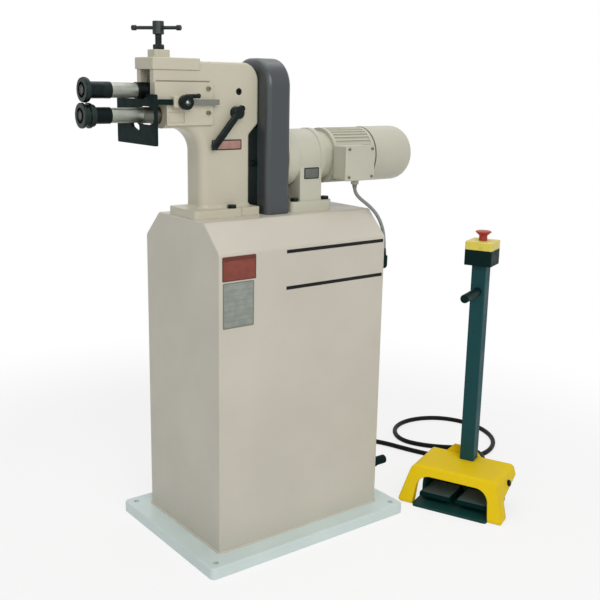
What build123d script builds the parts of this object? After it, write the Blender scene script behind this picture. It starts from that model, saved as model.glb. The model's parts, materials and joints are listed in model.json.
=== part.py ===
from build123d import *
from math import asin, atan, cos, degrees, pi, radians, sin, tan
import os

# Motor-driven bead roller on a cabinet stand, with a foot-pedal station. Millimetres, +Z up.
# The origin is the centre of the base plate's underside. +X runs along the shafts from the rolls
# to the motor, and -Y is the front of the cabinet.

# Fits, free gaps, and the shares of a cap screw's head and socket in its thread
RUN_FIT = 0.05
SLIDE_FIT = 0.08
SEAT_FIT = 0.02
HOLE_FIT = 0.4
AIR_GAP = 1.0
NEAR = 0.01
SOCKET_HEAD = 1.6
SOCKET_ACROSS = 0.9

# Base plate
PLATE_LENGTH = 610.0
PLATE_WIDTH = 450.0
PLATE_THICKNESS = 28.0
PLATE_CORNER_RADIUS = 12.0
PLATE_EDGE = 2.0
ANCHOR_INSET = 25.0
ANCHOR_RADIUS = 7.0

# Cabinet
CABINET_LENGTH = 500.0
CABINET_WIDTH = 340.0
CABINET_HEIGHT = 796.0
CABINET_WALL = 3.0
CABINET_TOP = 12.0
CHAMFER_DEPTH = 65.0
CHAMFER_DROP = 63.0
CHAMFER_ROUND = 12.0
CABINET_EDGE = 4.0

# Rear door with its hinges and handle
DOOR_LENGTH = 360.0
DOOR_HEIGHT = 520.0
DOOR_BOTTOM_HEIGHT = 90.0
DOOR_DEPTH = 18.0
DOOR_SHEET = 2.0
DOOR_OVERLAP = 14.0
HINGE_RADIUS = 5.0
HINGE_PIN_RADIUS = 2.5
HINGE_LENGTH = 24.0
HINGE_EDGE_GAP = 1.0
HINGE_INSET = 90.0
HINGE_AXIS_DEPTH = 12.0
HANDLE_LENGTH = 110.0
HANDLE_RISE = 32.0
HANDLE_RADIUS = 5.0
HANDLE_INSET = 34.0
HANDLE_BEND = 14.0

# Electrical panel inside the cabinet
PANEL_LENGTH = 300.0
PANEL_HEIGHT = 360.0
PANEL_THICKNESS = 2.0
PANEL_BOTTOM_HEIGHT = 220.0
CONTACTOR_WIDTH = 46.0
CONTACTOR_HEIGHT = 82.0
CONTACTOR_DEPTH = 84.0
CONTACTOR_PITCH = 90.0
CONTACTOR_COUNT = 3
CONTACTOR_STEP = 0.6

# Head casting
HEAD_FRONT_X = -335.0
NOSE_FRONT_X = -306.0
HEAD_REAR_X = -55.0
HEAD_WIDTH = 76.0
LOWER_AXIS_HEIGHT = 236.0
AXIS_SPACING = 54.0
ARM_BELOW_AXIS = 29.0
HEAD_ABOVE_AXIS = 66.0
HEAD_TOP_RADIUS = 42.0
HEEL_DROP = 20.0
HEEL_HEIGHT = 26.0
HEEL_RADIUS = 10.0
COLUMN_FRONT_X = -215.0
COLUMN_REAR_X = -81.0
COLUMN_FRONT_RADIUS = 20.0
ARM_FILLET = 55.0
CASTING_EDGE = 6.0
FOOT_FRONT_X = -246.0
FOOT_WIDTH = 124.0
FOOT_LENGTH = 134.0
FOOT_HEIGHT = 20.0
FOOT_CORNER_RADIUS = 10.0
FOOT_FILLET = 9.0
REAR_FOOT_X = -63.0
REAR_FOOT_WIDTH = 112.0
REAR_FLARE = 16.0
HEAD_BOLT_X = -138.0
HEAD_BOLT_SPACING_Y = 102.0

# Fork slot for the upper bearing block, and the tunnel for the upper shaft
SLOT_WIDTH = 44.0
SLOT_BELOW_AXIS = 28.0
SLOT_REAR_X = -258.0
TUNNEL_ABOVE_AXIS = 28.0

# Slide cap, screw nut flange and lock ring over the fork
CAP_SEAT_ABOVE_AXIS = 46.0
CAP_THICKNESS = 26.0
CAP_REAR_X = -218.0
CAP_PROUD = 3.0
SCREW_X = -300.0
NUT_WIDTH = 39.0
NUT_HEIGHT = 17.0
NUT_SPIGOT_RADIUS = 13.0
RING_RADIUS = 12.0
RING_HEIGHT = 11.0
RING_CHAMFER = 1.0
CAP_SCREW_INSET = 12.0
CAP_SCREW_RADIUS = 4.0
CAP_SCREW_DEPTH = 14.0
NUT_SCREW_SPACING = 26.5
NUT_SCREW_RADIUS = 2.5
NUT_SCREW_DEPTH = 12.0

# Adjusting screw, thrust pad and tommy bar
SCREW_RADIUS = 7.0
SCREW_FREE_LENGTH = 21.0
SCREW_NOSE_RADIUS = 4.5
HUB_RADIUS = 12.75
HUB_HEIGHT = 29.0
PAD_RADIUS = 10.0
PAD_HEIGHT = 8.0
PAD_NECK_RADIUS = 6.5
PAD_HEAD_RADIUS = 11.0
PAD_HEAD_THICKNESS = 3.3
PAD_PLAY = 0.6
PAD_RISE = 3.0
BAR_RADIUS = 4.0
BAR_LENGTH = 121.0
BAR_OFFSET = -5.0
BAR_KNOB_RADIUS = 6.0
BAR_KNOB_LENGTH = 11.0
BAR_TURN = -56.0

# Shafts with their rolls, sleeves, collars and bearings
SHAFT_RADIUS = 16.5
SLEEVE_RADIUS = 18.0
SLEEVE_SEAT_RADIUS = 13.0
ROLL_SEAT_RADIUS = 10.0
ROLL_THREAD_RADIUS = 7.0
ROLL_RECESS_RADIUS = 17.0
ROLL_RECESS_DEPTH = 5.0
ROLL_EDGE = 1.0
ROLL_RIM = 1.5
ROLL_NUT_ACROSS = 20.0
ROLL_NUT_THICKNESS = 5.5
COLLAR_LENGTH = 39.0
COLLAR_GAP = 2.0
UPPER_BARE_LENGTH = 62.0
LOWER_BARE_LENGTH = 77.0
UPPER_SLEEVE_LENGTH = 52.0
UPPER_ROLL_WIDTH = 13.0
UPPER_ROLL_RADIUS = 25.6
BEAD_RADIUS = 27.0
BEAD_WIDTH = 6.0
LOWER_ROLL_FRONT = 11.5
LOWER_ROLL_BACK = 18.5
LOWER_ROLL_RADIUS = 27.25
GROOVE_WIDTH = 10.0
GROOVE_RADIUS = 23.0
GROOVE_WALL = 6.0
LOWER_HUB_RADIUS = 24.0
BLOCK_LENGTH = 38.0
BLOCK_BELOW_AXIS = 26.0
BLOCK_ABOVE_AXIS = 27.5
SWIVEL_X = -111.0
SWIVEL_LENGTH = 40.0
SWIVEL_WIDTH = 43.0
SWIVEL_HEIGHT = 44.0
TRUNNION_RADIUS = 6.0
TRUNNION_DEPTH = 3.6
TRUNNION_SCREW_RADIUS = 8.0
TRUNNION_SOCKET_RADIUS = 4.0
TRUNNION_SOCKET_DEPTH = 6.0
BUSH_RADIUS = 21.5
BUSH_LENGTH = 46.0
REAR_BUSH_X = -126.0
SHAFT_CLEAR_RADIUS = 18.5

# Gears, sprockets and chain
GEAR_SEAT_RADIUS = 12.0
GEAR_SETBACK = 8.0
GEAR_WIDTH = 20.0
GEAR_TEETH = 17
GEAR_MODULE = 3.0
GEAR_ROOT = 1.25
GEAR_ROOT_SHARE = 1.1
GEAR_TIP_SHARE = 0.32
SPROCKET_GAP = 15.0
SPROCKET_HUB_RADIUS = 18.0
SPROCKET_WIDTH = 7.0
CHAIN_PITCH = 12.7
DRIVEN_TEETH = 19
DRIVE_TEETH = 15
SPROCKET_TIP = 3.5
SPROCKET_ROOT = 4.2
SPROCKET_ROOT_SHARE = 1.2
SPROCKET_TIP_SHARE = 0.4
CHAIN_HALF_HEIGHT = 5.5
CHAIN_PLATE = 2.5
CHAIN_PLATE_GAP = 1.0
CHAIN_PIN_RADIUS = 2.2
CHAIN_PIN_MARGIN = 25.0

# Side plate with bar guide, fence and levers on the front of the head
SIDE_PLATE_REAR_X = -185.0
SIDE_PLATE_THICKNESS = 6.0
SIDE_PLATE_LOW = 22.0
SIDE_PLATE_HIGH = 74.0
SIDE_PLATE_ROUND = 6.0
SIDE_PLATE_NOSE_ROUND = 4.0
SIDE_SCREW_INSET = 14.0
SIDE_SCREW_RADIUS = 3.0
SIDE_SCREW_DEPTH = 12.0
POCKET_LENGTH = 40.0
POCKET_HEIGHT = 24.0
POCKET_DEPTH = 2.5
POCKET_SETBACK = 5.0
POCKET_RISE = 6.0
FENCE_THICKNESS = 7.0
FENCE_X = -346.0
FENCE_FRONT = 63.0
FENCE_BACK = 119.0
FENCE_BELOW_AXIS = 65.0
FENCE_ABOVE_AXIS = 35.5
FENCE_SLOT_RADIUS = 20.0
FENCE_SLOT_RIM = 5.0
FENCE_EAR_LENGTH = 41.0
FENCE_EAR_HEIGHT = 11.0
FENCE_CORNER = 3.0
FENCE_HOLE_LENGTH = 39.0
FENCE_HOLE_WIDTH = 17.0
FENCE_HOLE_TURN = 20.0
FENCE_HOLE_Y = 30.0
FENCE_HOLE_DROP = 24.0
FENCE_BAR_WIDTH = 10.0
FENCE_BAR_HEIGHT = 12.0
FENCE_BAR_LENGTH = 164.0
FENCE_BAR_RISE = 30.0
GUIDE_LENGTH = 50.0
GUIDE_WALL = 6.0
GUIDE_ROUND = 2.0
CLAMP_X = -271.0
CLAMP_RADIUS = 16.5
CLAMP_LENGTH = 15.0
CLAMP_ROUND = 3.0
CLAMP_STUD_RADIUS = 4.0
CLAMP_RECESS_RADIUS = 6.0
CLAMP_RECESS_DEPTH = 3.0
CLAMP_LEVER_LENGTH = 32.0
CLAMP_LEVER_RADIUS = 4.5
CLAMP_LEVER_RISE = 12.5
CLAMP_LEVER_TURN = -3.0
LEVER_X = -121.0
LEVER_RISE = 6.0
LEVER_BOSS_RADIUS = 14.5
LEVER_BOSS_LENGTH = 20.0
LEVER_STEM_RADIUS = 8.0
LEVER_STEM_DEPTH = 13.0
LEVER_LENGTH = 100.0
LEVER_WIDTH = 15.0
LEVER_THICKNESS = 9.0
LEVER_ANGLE = 49.0
LEVER_NUB = 20.0
LEVER_ROUND = 3.0
LEVER_EDGE = 2.0
LEVER_END_SHARE = 0.45

# Chain guard and back plate
GUARD_DEPTH = 70.0
GUARD_WIDTH = 156.0
GUARD_HEIGHT = 368.0
GUARD_TOP_RADIUS = 66.0
GUARD_SHEET = 2.0
GUARD_EDGE = 14.0
GUARD_OPENING_WIDTH = 72.0
GUARD_OPENING_HEIGHT = 346.0
GUARD_SHAFT_HOLE_RADIUS = 26.0
BACK_PLATE_WIDTH = 100.0
BACK_PLATE_GAP = 6.0
BACK_PLATE_HEIGHT = 200.0
BACK_BOLT_HEIGHT = 120.0
BACK_BOLT_Y = -12.0
BACK_BOLT_ACROSS = 13.0
BACK_BOLT_HEAD = 6.0

# Geared motor
MOTOR_AXIS_HEIGHT = 131.0
GEARBOX_FLANGE_RADIUS = 73.0
GEARBOX_FLANGE_LENGTH = 34.0
GEARBOX_BARREL_RADIUS = 69.0
GEARBOX_LENGTH = 116.0
GEARBOX_REAR_RADIUS = 71.0
GEARBOX_REAR_LENGTH = 16.0
GEARBOX_CAVITY_RADIUS = 52.0
GEARBOX_WALL = 12.0
GEARBOX_FOOT_LENGTH = 128.0
GEARBOX_FOOT_START = 9.0
GEARBOX_FOOT_WIDTH = 146.0
GEARBOX_FOOT_HEIGHT = 26.0
GEARBOX_WEB_WIDTH = 132.0
GEARBOX_WEB_START = 39.0
GEARBOX_WEB_LENGTH = 68.0
GEARBOX_FOOT_ROUND = 12.0
GEARBOX_EDGE = 4.0
GEARBOX_BOLT_SPACING_X = 96.0
GEARBOX_BOLT_SPACING_Y = 120.0
OUTPUT_RADIUS = 15.0
OUTPUT_COLLAR = 4.0
OUTPUT_COLLAR_LENGTH = 8.0
BOLT_RADIUS = 6.0
BOLT_ACROSS = 19.0
BOLT_HEAD = 8.0
BOLT_GRIP = 22.0
SPOT_FACE = 0.65
MOTOR_RADIUS = 70.5
MOTOR_LENGTH = 165.0
MOTOR_CORE_RADIUS = 67.0
MOTOR_BORE_RADIUS = 50.0
MOTOR_SHIELD = 10.0
MOTOR_NECK_RADIUS = 61.0
MOTOR_NECK_LENGTH = 30.0
FIN_ROOT = 2.0
FIN_COUNT = 40
FIN_THICKNESS = 4.0
MOTOR_SPIGOT_RADIUS = 66.0
MOTOR_SPIGOT_LENGTH = 12.0
ROTOR_RADIUS = 47.0
ROTOR_MARGIN = 20.0
ROTOR_SHAFT_RADIUS = 12.0
ROTOR_SHAFT_FRONT = 8.0
FAN_RADIUS = 58.0
FAN_HUB_RADIUS = 20.0
FAN_LENGTH = 26.0
FAN_BLADES = 8
FAN_BLADE = 3.0
FAN_GAP = 24.0
COWL_RADIUS = 72.0
COWL_LENGTH = 146.0
COWL_GAP = 3.0
COWL_SHEET = 2.0
COWL_END_RADIUS = 40.0
COWL_SLOTS = 12
COWL_SLOT_WIDTH = 5.0
COWL_SLOT_LENGTH = 22.0
COWL_SLOT_INNER = 16.0
COWL_RIB = 4.0

# Terminal box on the motor
TERMINAL_X = 154.0
TERMINAL_LENGTH = 91.0
TERMINAL_LOW = 54.0
TERMINAL_HEIGHT = 85.0
TERMINAL_PAD_Y = 72.0
TERMINAL_DEPTH = 44.0
TERMINAL_WALL = 4.0
TERMINAL_PAD_INSET = 8.0
TERMINAL_LID = 6.0
TERMINAL_LID_LIP = 2.0
TERMINAL_SCREW_INSET = 8.0
TERMINAL_SCREW_RADIUS = 2.0
TERMINAL_SCREW_DEPTH = 12.0
TERMINAL_POST_RADIUS = 4.4
MOTOR_GLAND_X = 207.0
GLAND_RADIUS = 10.0
GLAND_LENGTH = 14.0
GLAND_ROUND = 2.0
GLAND_THREAD_RADIUS = 7.0
GLAND_THREAD_LENGTH = 8.0

# Glands on the cabinet
INLET_Y = -145.5
INLET_HEIGHT = 676.0
INLET_REACH = 20.0
INLET_RISE = 24.0
MAINS_GLAND_HEIGHT = 102.0
MAINS_GLAND_LENGTH = 52.0
MAINS_GLAND_RADIUS = 12.0
MAINS_NUT_RADIUS = 14.0
MAINS_NUT_EDGE = 1.0
MAINS_END_ROUND = 3.0
PEDAL_OUTLET_X = 180.0
PEDAL_OUTLET_HEIGHT = 42.0
PEDAL_GLAND_RADIUS = 11.0
PEDAL_GLAND_LENGTH = 34.0
PEDAL_GLAND_X = -17.0
PEDAL_GLAND_Z = 30.0

# Pedal station, in its own frame: the post's axis is the origin and -Y is the front
PEDAL_X = 531.0
PEDAL_Y = -250.0
PEDAL_TURN = -66.8
PEDAL_BASE_WIDTH = 212.0
PEDAL_BASE_FRONT = 148.0
PEDAL_BASE_BACK = 30.0
PEDAL_BASE_THICKNESS = 8.0
PEDAL_BASE_CORNER = 8.0
PEDAL_WALL = 8.0
PEDAL_WALL_HEIGHT = 54.0
PEDAL_CHEEK_FRONT = 72.0
HOOD_WIDTH = 304.0
HOOD_TOP_WIDTH = 240.0
HOOD_HEIGHT = 112.0
HOOD_ROUND = 20.0
HOOD_FRONT = 146.0
HOOD_TOP_FRONT = 122.0
HOOD_BACK = 30.0
HOOD_SKIRT = 32.0
HOOD_LEG = 36.0
HOOD_LEG_TOP = 48.0
HOOD_LEG_HEIGHT = 58.0
HOOD_LEG_ROUND = 10.0
HOOD_FOOT_ROUND = 12.0
HOOD_WALL = 4.0
HOOD_LIFT = 1.0
HOOD_OPENING_WIDTH = 218.0
HOOD_OPENING_TOP_WIDTH = 196.0
HOOD_OPENING_HEIGHT = 86.0
HOOD_OPENING_ROUND = 38.0
HOOD_RIB_X = -23.0
HOOD_RIB_WIDTH = 106.0
HOOD_RIB_TOP_WIDTH = 58.0
HOOD_RIB_HEIGHT = 22.0
HOOD_RIB_ROUND = 6.0
HOOD_BOLT_RADIUS = 5.0
HOOD_BOLT_HEAD_RADIUS = 9.0
HOOD_BOLT_HEAD = 6.0
HOOD_BOLT_Y = -39.0
HOOD_BOLT_HEIGHT = 82.0
HOOD_LUG = 12.0
HOOD_LUG_LENGTH = 26.0
HOOD_LUG_LOW = 71.0
HOOD_LUG_HIGH = 93.0
TREADLE_WIDTH = 88.0
TREADLE_GAP = 16.0
TREADLE_FRONT = 118.0
TREADLE_PIN_Y = 0.0
TREADLE_PIN_HEIGHT = 20.0
TREADLE_PIN_RADIUS = 4.0
TREADLE_BARREL_RADIUS = 7.0
TREADLE_THICKNESS = 7.0
TREADLE_RISE = 6.0
TREADLE_LIP = 11.0
TREADLE_ROUND = 5.0
TREADLE_LUG = 8.0
TREADLE_LUG_LENGTH = 22.0
SWITCH_WIDTH = 30.0
SWITCH_LENGTH = 40.0
SWITCH_HEIGHT = 8.0
SWITCH_Y = -36.0
POST_WIDTH = 40.0
POST_WALL = 2.5
POST_HEIGHT = 559.0
POST_FLANGE = 60.0
POST_FLANGE_THICKNESS = 5.0
GRIP_HEIGHT = 486.0
GRIP_RADIUS = 11.5
GRIP_LENGTH = 104.0
GRIP_ROUND = 3.0
STOP_BOX_WIDTH = 74.0
STOP_BOX_HEIGHT = 42.0
STOP_BOX_ROUND = 4.0
STOP_BOX_WALL = 3.0
STOP_LID_HEIGHT = 22.0
STOP_PLUNGER_RADIUS = 11.0
STOP_PLUNGER_RISE = 15.0
STOP_PLUNGER_DEPTH = 24.0
STOP_CAP_RADIUS = 21.5
STOP_CAP_HEIGHT = 12.0
STOP_CAP_BORE_RADIUS = 8.0
STOP_CAP_BORE_DEPTH = 6.0
STOP_SPIGOT_GAP = 0.3

# Cords
MOTOR_CABLE_RADIUS = 4.5
PEDAL_CABLE_RADIUS = 7.5
PEDAL_CABLE_LEAD = 40.0
FLOOR_GAP = 0.5

# Heights and places that several pieces share
TOP_Z = PLATE_THICKNESS + CABINET_HEIGHT
LOWER_Z = TOP_Z + LOWER_AXIS_HEIGHT
UPPER_Z = LOWER_Z + AXIS_SPACING
ARM_LOW_Z = LOWER_Z - ARM_BELOW_AXIS
HEAD_TOP_Z = UPPER_Z + HEAD_ABOVE_AXIS
FOOT_TOP_Z = TOP_Z + FOOT_HEIGHT
SLOT_FLOOR_Z = UPPER_Z - SLOT_BELOW_AXIS
CAP_SEAT_Z = UPPER_Z + CAP_SEAT_ABOVE_AXIS
CAP_TOP_Z = CAP_SEAT_Z + CAP_THICKNESS
NUT_TOP_Z = CAP_TOP_Z + NUT_HEIGHT
RING_TOP_Z = NUT_TOP_Z + RING_HEIGHT
HUB_LOW_Z = RING_TOP_Z + SCREW_FREE_LENGTH
BLOCK_TOP_Z = UPPER_Z + BLOCK_ABOVE_AXIS
PAD_LOW_Z = BLOCK_TOP_Z + PAD_RISE
PAD_TOP_Z = PAD_LOW_Z + PAD_HEIGHT
PAD_HEAD_TOP_Z = BLOCK_TOP_Z - PAD_RISE - PAD_PLAY
PAD_HEAD_LOW_Z = PAD_HEAD_TOP_Z - PAD_HEAD_THICKNESS
MOTOR_Z = TOP_Z + MOTOR_AXIS_HEIGHT
HEAD_FACE_Y = -HEAD_WIDTH / 2
REAR_FACE_Y = CABINET_WIDTH / 2
END_FACE_X = CABINET_LENGTH / 2
ANCHOR_SPACING_X = PLATE_LENGTH - 2 * ANCHOR_INSET
ANCHOR_SPACING_Y = PLATE_WIDTH - 2 * ANCHOR_INSET

UPPER_COLLAR_REAR_X = SCREW_X - BLOCK_LENGTH / 2 - COLLAR_GAP
UPPER_COLLAR_FRONT_X = UPPER_COLLAR_REAR_X - COLLAR_LENGTH
UPPER_SLEEVE_REAR_X = UPPER_COLLAR_FRONT_X - UPPER_BARE_LENGTH
UPPER_ROLL_REAR_X = UPPER_SLEEVE_REAR_X - UPPER_SLEEVE_LENGTH
UPPER_ROLL_FRONT_X = UPPER_ROLL_REAR_X - UPPER_ROLL_WIDTH
BEAD_X = UPPER_ROLL_FRONT_X + UPPER_ROLL_WIDTH / 2
LOWER_ROLL_FRONT_X = BEAD_X - LOWER_ROLL_FRONT
LOWER_ROLL_REAR_X = BEAD_X + LOWER_ROLL_BACK
LOWER_COLLAR_REAR_X = NOSE_FRONT_X - COLLAR_GAP
LOWER_COLLAR_FRONT_X = LOWER_COLLAR_REAR_X - COLLAR_LENGTH
LOWER_SLEEVE_REAR_X = LOWER_COLLAR_FRONT_X - LOWER_BARE_LENGTH
GEAR_FRONT_X = HEAD_REAR_X + GEAR_SETBACK
GEAR_REAR_X = GEAR_FRONT_X + GEAR_WIDTH
SPROCKET_FRONT_X = GEAR_REAR_X + SPROCKET_GAP
SPROCKET_REAR_X = SPROCKET_FRONT_X + SPROCKET_WIDTH
DRIVEN_PITCH_RADIUS = CHAIN_PITCH / 2 / sin(pi / DRIVEN_TEETH)
DRIVE_PITCH_RADIUS = CHAIN_PITCH / 2 / sin(pi / DRIVE_TEETH)

SIDE_PLATE_Y = HEAD_FACE_Y - SIDE_PLATE_THICKNESS
BAR_BACK_Y = SIDE_PLATE_Y - AIR_GAP
BAR_FRONT_Y = BAR_BACK_Y - FENCE_BAR_WIDTH
GUIDE_FRONT_Y = BAR_FRONT_Y - SLIDE_FIT - GUIDE_WALL
FENCE_BAR_Z = LOWER_Z + FENCE_BAR_RISE
LEVER_Z = LOWER_Z + LEVER_RISE

GUARD_REAR_X = HEAD_REAR_X + GUARD_DEPTH
GEARBOX_REAR_X = GUARD_REAR_X + GEARBOX_LENGTH
MOTOR_REAR_X = GEARBOX_REAR_X + MOTOR_LENGTH
SPIGOT_REAR_X = MOTOR_REAR_X + MOTOR_SPIGOT_LENGTH
COWL_FRONT_X = MOTOR_REAR_X + COWL_GAP
COWL_REAR_X = COWL_FRONT_X + COWL_LENGTH
GEARBOX_BOLT_X = GUARD_REAR_X + GEARBOX_FOOT_START + GEARBOX_FOOT_LENGTH / 2
FAN_FRONT_X = SPIGOT_REAR_X + FAN_GAP
TERMINAL_LOW_Z = MOTOR_Z - TERMINAL_LOW
TERMINAL_FRONT_Y = -TERMINAL_PAD_Y - TERMINAL_DEPTH
MOTOR_GLAND_Y = -TERMINAL_PAD_Y - TERMINAL_DEPTH / 2
MOTOR_GLAND_LOW_Z = TERMINAL_LOW_Z - GLAND_LENGTH
INLET_X = END_FACE_X + INLET_REACH
INLET_Z = PLATE_THICKNESS + INLET_HEIGHT - INLET_RISE
INLET_TOP_Z = INLET_Z + INLET_RISE
PEDAL_OUTLET_Z = PLATE_THICKNESS + PEDAL_OUTLET_HEIGHT
PEDAL_OUTLET_Y = REAR_FACE_Y + PEDAL_GLAND_LENGTH

HOOD_TOP_Z = HOOD_LIFT + HOOD_HEIGHT
POST_TOP_Z = HOOD_TOP_Z + POST_HEIGHT
STOP_LID_Z = POST_TOP_Z + STOP_BOX_HEIGHT
STOP_TOP_Z = STOP_LID_Z + STOP_LID_HEIGHT
STOP_CAP_Z = STOP_TOP_Z + STOP_PLUNGER_RISE
PEDAL_PLACE = Pos(PEDAL_X, PEDAL_Y, 0) * Rot(0, 0, PEDAL_TURN)

HEAD_BOLTS = [(HEAD_BOLT_X, side * HEAD_BOLT_SPACING_Y / 2) for side in (-1, 1)]
UNIT = {"X": (1, 0, 0), "Y": (0, 1, 0), "Z": (0, 0, 1)}


def block(x, y, z):
    """Box between the two ends given for each axis."""
    size = [b - a for a, b in (x, y, z)]
    centre = [(a + b) / 2 for a, b in (x, y, z)]
    return Pos(*centre) * Box(*size)


def rod(axis, radius, start, end, at):
    """Cylinder along an axis from start to end; at holds its other two coordinates."""
    middle = (start + end) / 2
    body = Cylinder(radius, end - start)
    if axis == "X":
        return Pos(middle, at[0], at[1]) * Rot(0, 90, 0) * body
    if axis == "Y":
        return Pos(at[0], middle, at[1]) * Rot(90, 0, 0) * body
    return Pos(at[0], at[1], middle) * body


def pipe(axis, outer, inner, start, end, at):
    """Straight tube along an axis."""
    return rod(axis, outer, start, end, at) - rod(axis, inner, start, end, at)


def corners(spacing_x, spacing_y, x=0.0, y=0.0):
    """Centres of a rectangular pattern of four."""
    return [(x + i * spacing_x / 2, y + j * spacing_y / 2) for i in (-1, 1) for j in (-1, 1)]


def on_plane(axis, level, u, v):
    """Point of an outline drawn across an axis: YZ for X, XZ for Y and XY for Z."""
    return {"X": (level, u, v), "Y": (u, level, v), "Z": (u, v, level)}[axis]


def outline(points, axis, level):
    """Closed face through corners (u, v, radius), each rounded by its radius."""
    spots = [Vector(u, v) for u, v, _ in points]
    turns = []
    for i, (_, _, radius) in enumerate(points):
        here = spots[i]
        back = (spots[i - 1] - here).normalized()
        ahead = (spots[(i + 1) % len(spots)] - here).normalized()
        if radius <= 0:
            turns.append((here, None, here))
            continue
        half = radians(back.get_angle(ahead)) / 2
        reach = radius / tan(half)
        centre = here + (back + ahead).normalized() * (radius / sin(half))
        middle = centre + (here - centre).normalized() * radius
        turns.append((here + back * reach, middle, here + ahead * reach))
    edges = []
    for i, (start, middle, end) in enumerate(turns):
        after = turns[(i + 1) % len(turns)][0]
        if middle is not None:
            bend = [on_plane(axis, level, p.X, p.Y) for p in (start, middle, end)]
            edges.append(Edge.make_three_point_arc(*bend))
        if (after - end).length > 1e-6:
            run = [on_plane(axis, level, p.X, p.Y) for p in (end, after)]
            edges.append(Edge.make_line(*run))
    return Face(Wire(edges))


def prism(points, axis, start, end):
    """Rounded outline carried along an axis from start to end."""
    return extrude(outline(points, axis, start), end - start, dir=UNIT[axis])


def lathe(points, z):
    """Turned piece about an X axis at height z, from corners (x, radius, rounding)."""
    face = outline(points, "Y", 0.0)
    return Pos(0, 0, z) * revolve(face, Axis.X)


def gather(pieces):
    """Separate solids of one group."""
    return Compound(children=[s for piece in pieces for s in piece.solids()])


def hex_bolt(radius, across, head, length):
    """Hexagon bolt standing on Z=0 with its shank below."""
    top = extrude(RegularPolygon(across / 2, 6, major_radius=False), head)
    return top + rod("Z", radius, -length, 0, (0, 0))


def socket_screw(radius, length):
    """Cap screw standing on Z=0, with a hexagon socket in its head."""
    head = rod("Z", SOCKET_HEAD * radius, 0, 2 * radius, (0, 0))
    socket = Pos(0, 0, radius) * extrude(RegularPolygon(SOCKET_ACROSS * radius, 6), 2 * radius)
    return head - socket + rod("Z", radius, -length, 0, (0, 0))


def toothed_disc(teeth, root, tip, root_half, tip_half, start, end, z):
    """Disc along X with straight-sided teeth, one of them straight up; halves are angles."""
    points = []
    for k in range(teeth):
        middle = pi / 2 + 2 * pi * k / teeth
        shape = ((root, -root_half), (tip, -tip_half), (tip, tip_half), (root, root_half))
        for radius, offset in shape:
            angle = middle + offset
            points.append((start, radius * cos(angle), z + radius * sin(angle)))
    face = Face(Wire.make_polygon(points, close=True))
    return extrude(face, end - start, dir=UNIT["X"])


def base_plate():
    plate = extrude(RectangleRounded(PLATE_LENGTH, PLATE_WIDTH, PLATE_CORNER_RADIUS), PLATE_THICKNESS)
    plate = chamfer(plate.faces().sort_by(Axis.Z)[-1].edges(), PLATE_EDGE)
    for spot in corners(ANCHOR_SPACING_X, ANCHOR_SPACING_Y):
        plate -= rod("Z", ANCHOR_RADIUS, 0, PLATE_THICKNESS, spot)
    return plate


def cabinet_profile(half_width, shoulder_half, low, top, rounding):
    """House-shaped cross-section with sloped shoulders, in YZ."""
    slope = top - CHAMFER_DROP
    return [
        (-half_width, low, 0),
        (-half_width, slope, rounding),
        (-shoulder_half, top, rounding),
        (shoulder_half, top, rounding),
        (half_width, slope, rounding),
        (half_width, low, 0),
    ]


def door_bottom():
    return PLATE_THICKNESS + DOOR_BOTTOM_HEIGHT


def cabinet_shell():
    half = CABINET_WIDTH / 2
    flat = half - CHAMFER_DEPTH
    outer = cabinet_profile(half, flat, PLATE_THICKNESS, TOP_Z, CHAMFER_ROUND)
    inner = cabinet_profile(half - CABINET_WALL, flat, PLATE_THICKNESS, TOP_Z - CABINET_TOP, 0)
    shell = prism(outer, "X", -END_FACE_X, END_FACE_X)
    ends = shell.faces().filter_by(Axis.X).edges()
    shell = fillet(ends.filter_by(lambda e: e.center().Z > PLATE_THICKNESS + NEAR), CABINET_EDGE)
    shell -= prism(inner, "X", CABINET_WALL - END_FACE_X, END_FACE_X - CABINET_WALL)
    opening = DOOR_LENGTH / 2 - DOOR_OVERLAP
    low = door_bottom() + DOOR_OVERLAP
    high = door_bottom() + DOOR_HEIGHT - DOOR_OVERLAP
    shell -= block((-opening, opening), (0, half), (low, high))
    hole = BOLT_RADIUS + HOLE_FIT
    for spot in HEAD_BOLTS + gearbox_bolt_spots():
        shell -= rod("Z", hole, TOP_Z - CABINET_TOP, TOP_Z, spot)
    thread = GLAND_THREAD_RADIUS + SEAT_FIT
    wall = (END_FACE_X - CABINET_WALL, END_FACE_X)
    shell -= rod("X", thread, *wall, (INLET_Y, INLET_Z))
    shell -= rod("X", thread, *wall, (INLET_Y, PLATE_THICKNESS + MAINS_GLAND_HEIGHT))
    shell -= rod("Y", thread, half - CABINET_WALL, half, (PEDAL_OUTLET_X, PEDAL_OUTLET_Z))
    return shell


def hinge_spots():
    """Height of each hinge's parting line."""
    return (door_bottom() + HINGE_INSET, door_bottom() + DOOR_HEIGHT - HINGE_INSET)


def hinge_axis():
    return (DOOR_LENGTH / 2 + HINGE_EDGE_GAP + HINGE_RADIUS, REAR_FACE_Y + HINGE_AXIS_DEPTH)


def cabinet_door():
    half = DOOR_LENGTH / 2
    low = door_bottom()
    high = low + DOOR_HEIGHT
    face = REAR_FACE_Y + AIR_GAP
    back = face + DOOR_DEPTH
    door = block((-half, half), (face, back), (low, high))
    door = fillet(door.faces().sort_by(Axis.Y)[-1].edges(), DOOR_SHEET)
    inset = half - DOOR_SHEET
    door -= block((-inset, inset), (face, back - DOOR_SHEET), (low + DOOR_SHEET, high - DOOR_SHEET))
    x, y = hinge_axis()
    for z in hinge_spots():
        start = z + SLIDE_FIT
        knuckle = rod("Z", HINGE_RADIUS, start, start + HINGE_LENGTH, (x, y))
        knuckle += block((half - DOOR_SHEET, x), (y, y + HINGE_RADIUS), (start, start + HINGE_LENGTH))
        door += knuckle - rod("Z", HINGE_PIN_RADIUS + RUN_FIT, start, start + HINGE_LENGTH, (x, y))
    return door


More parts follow.
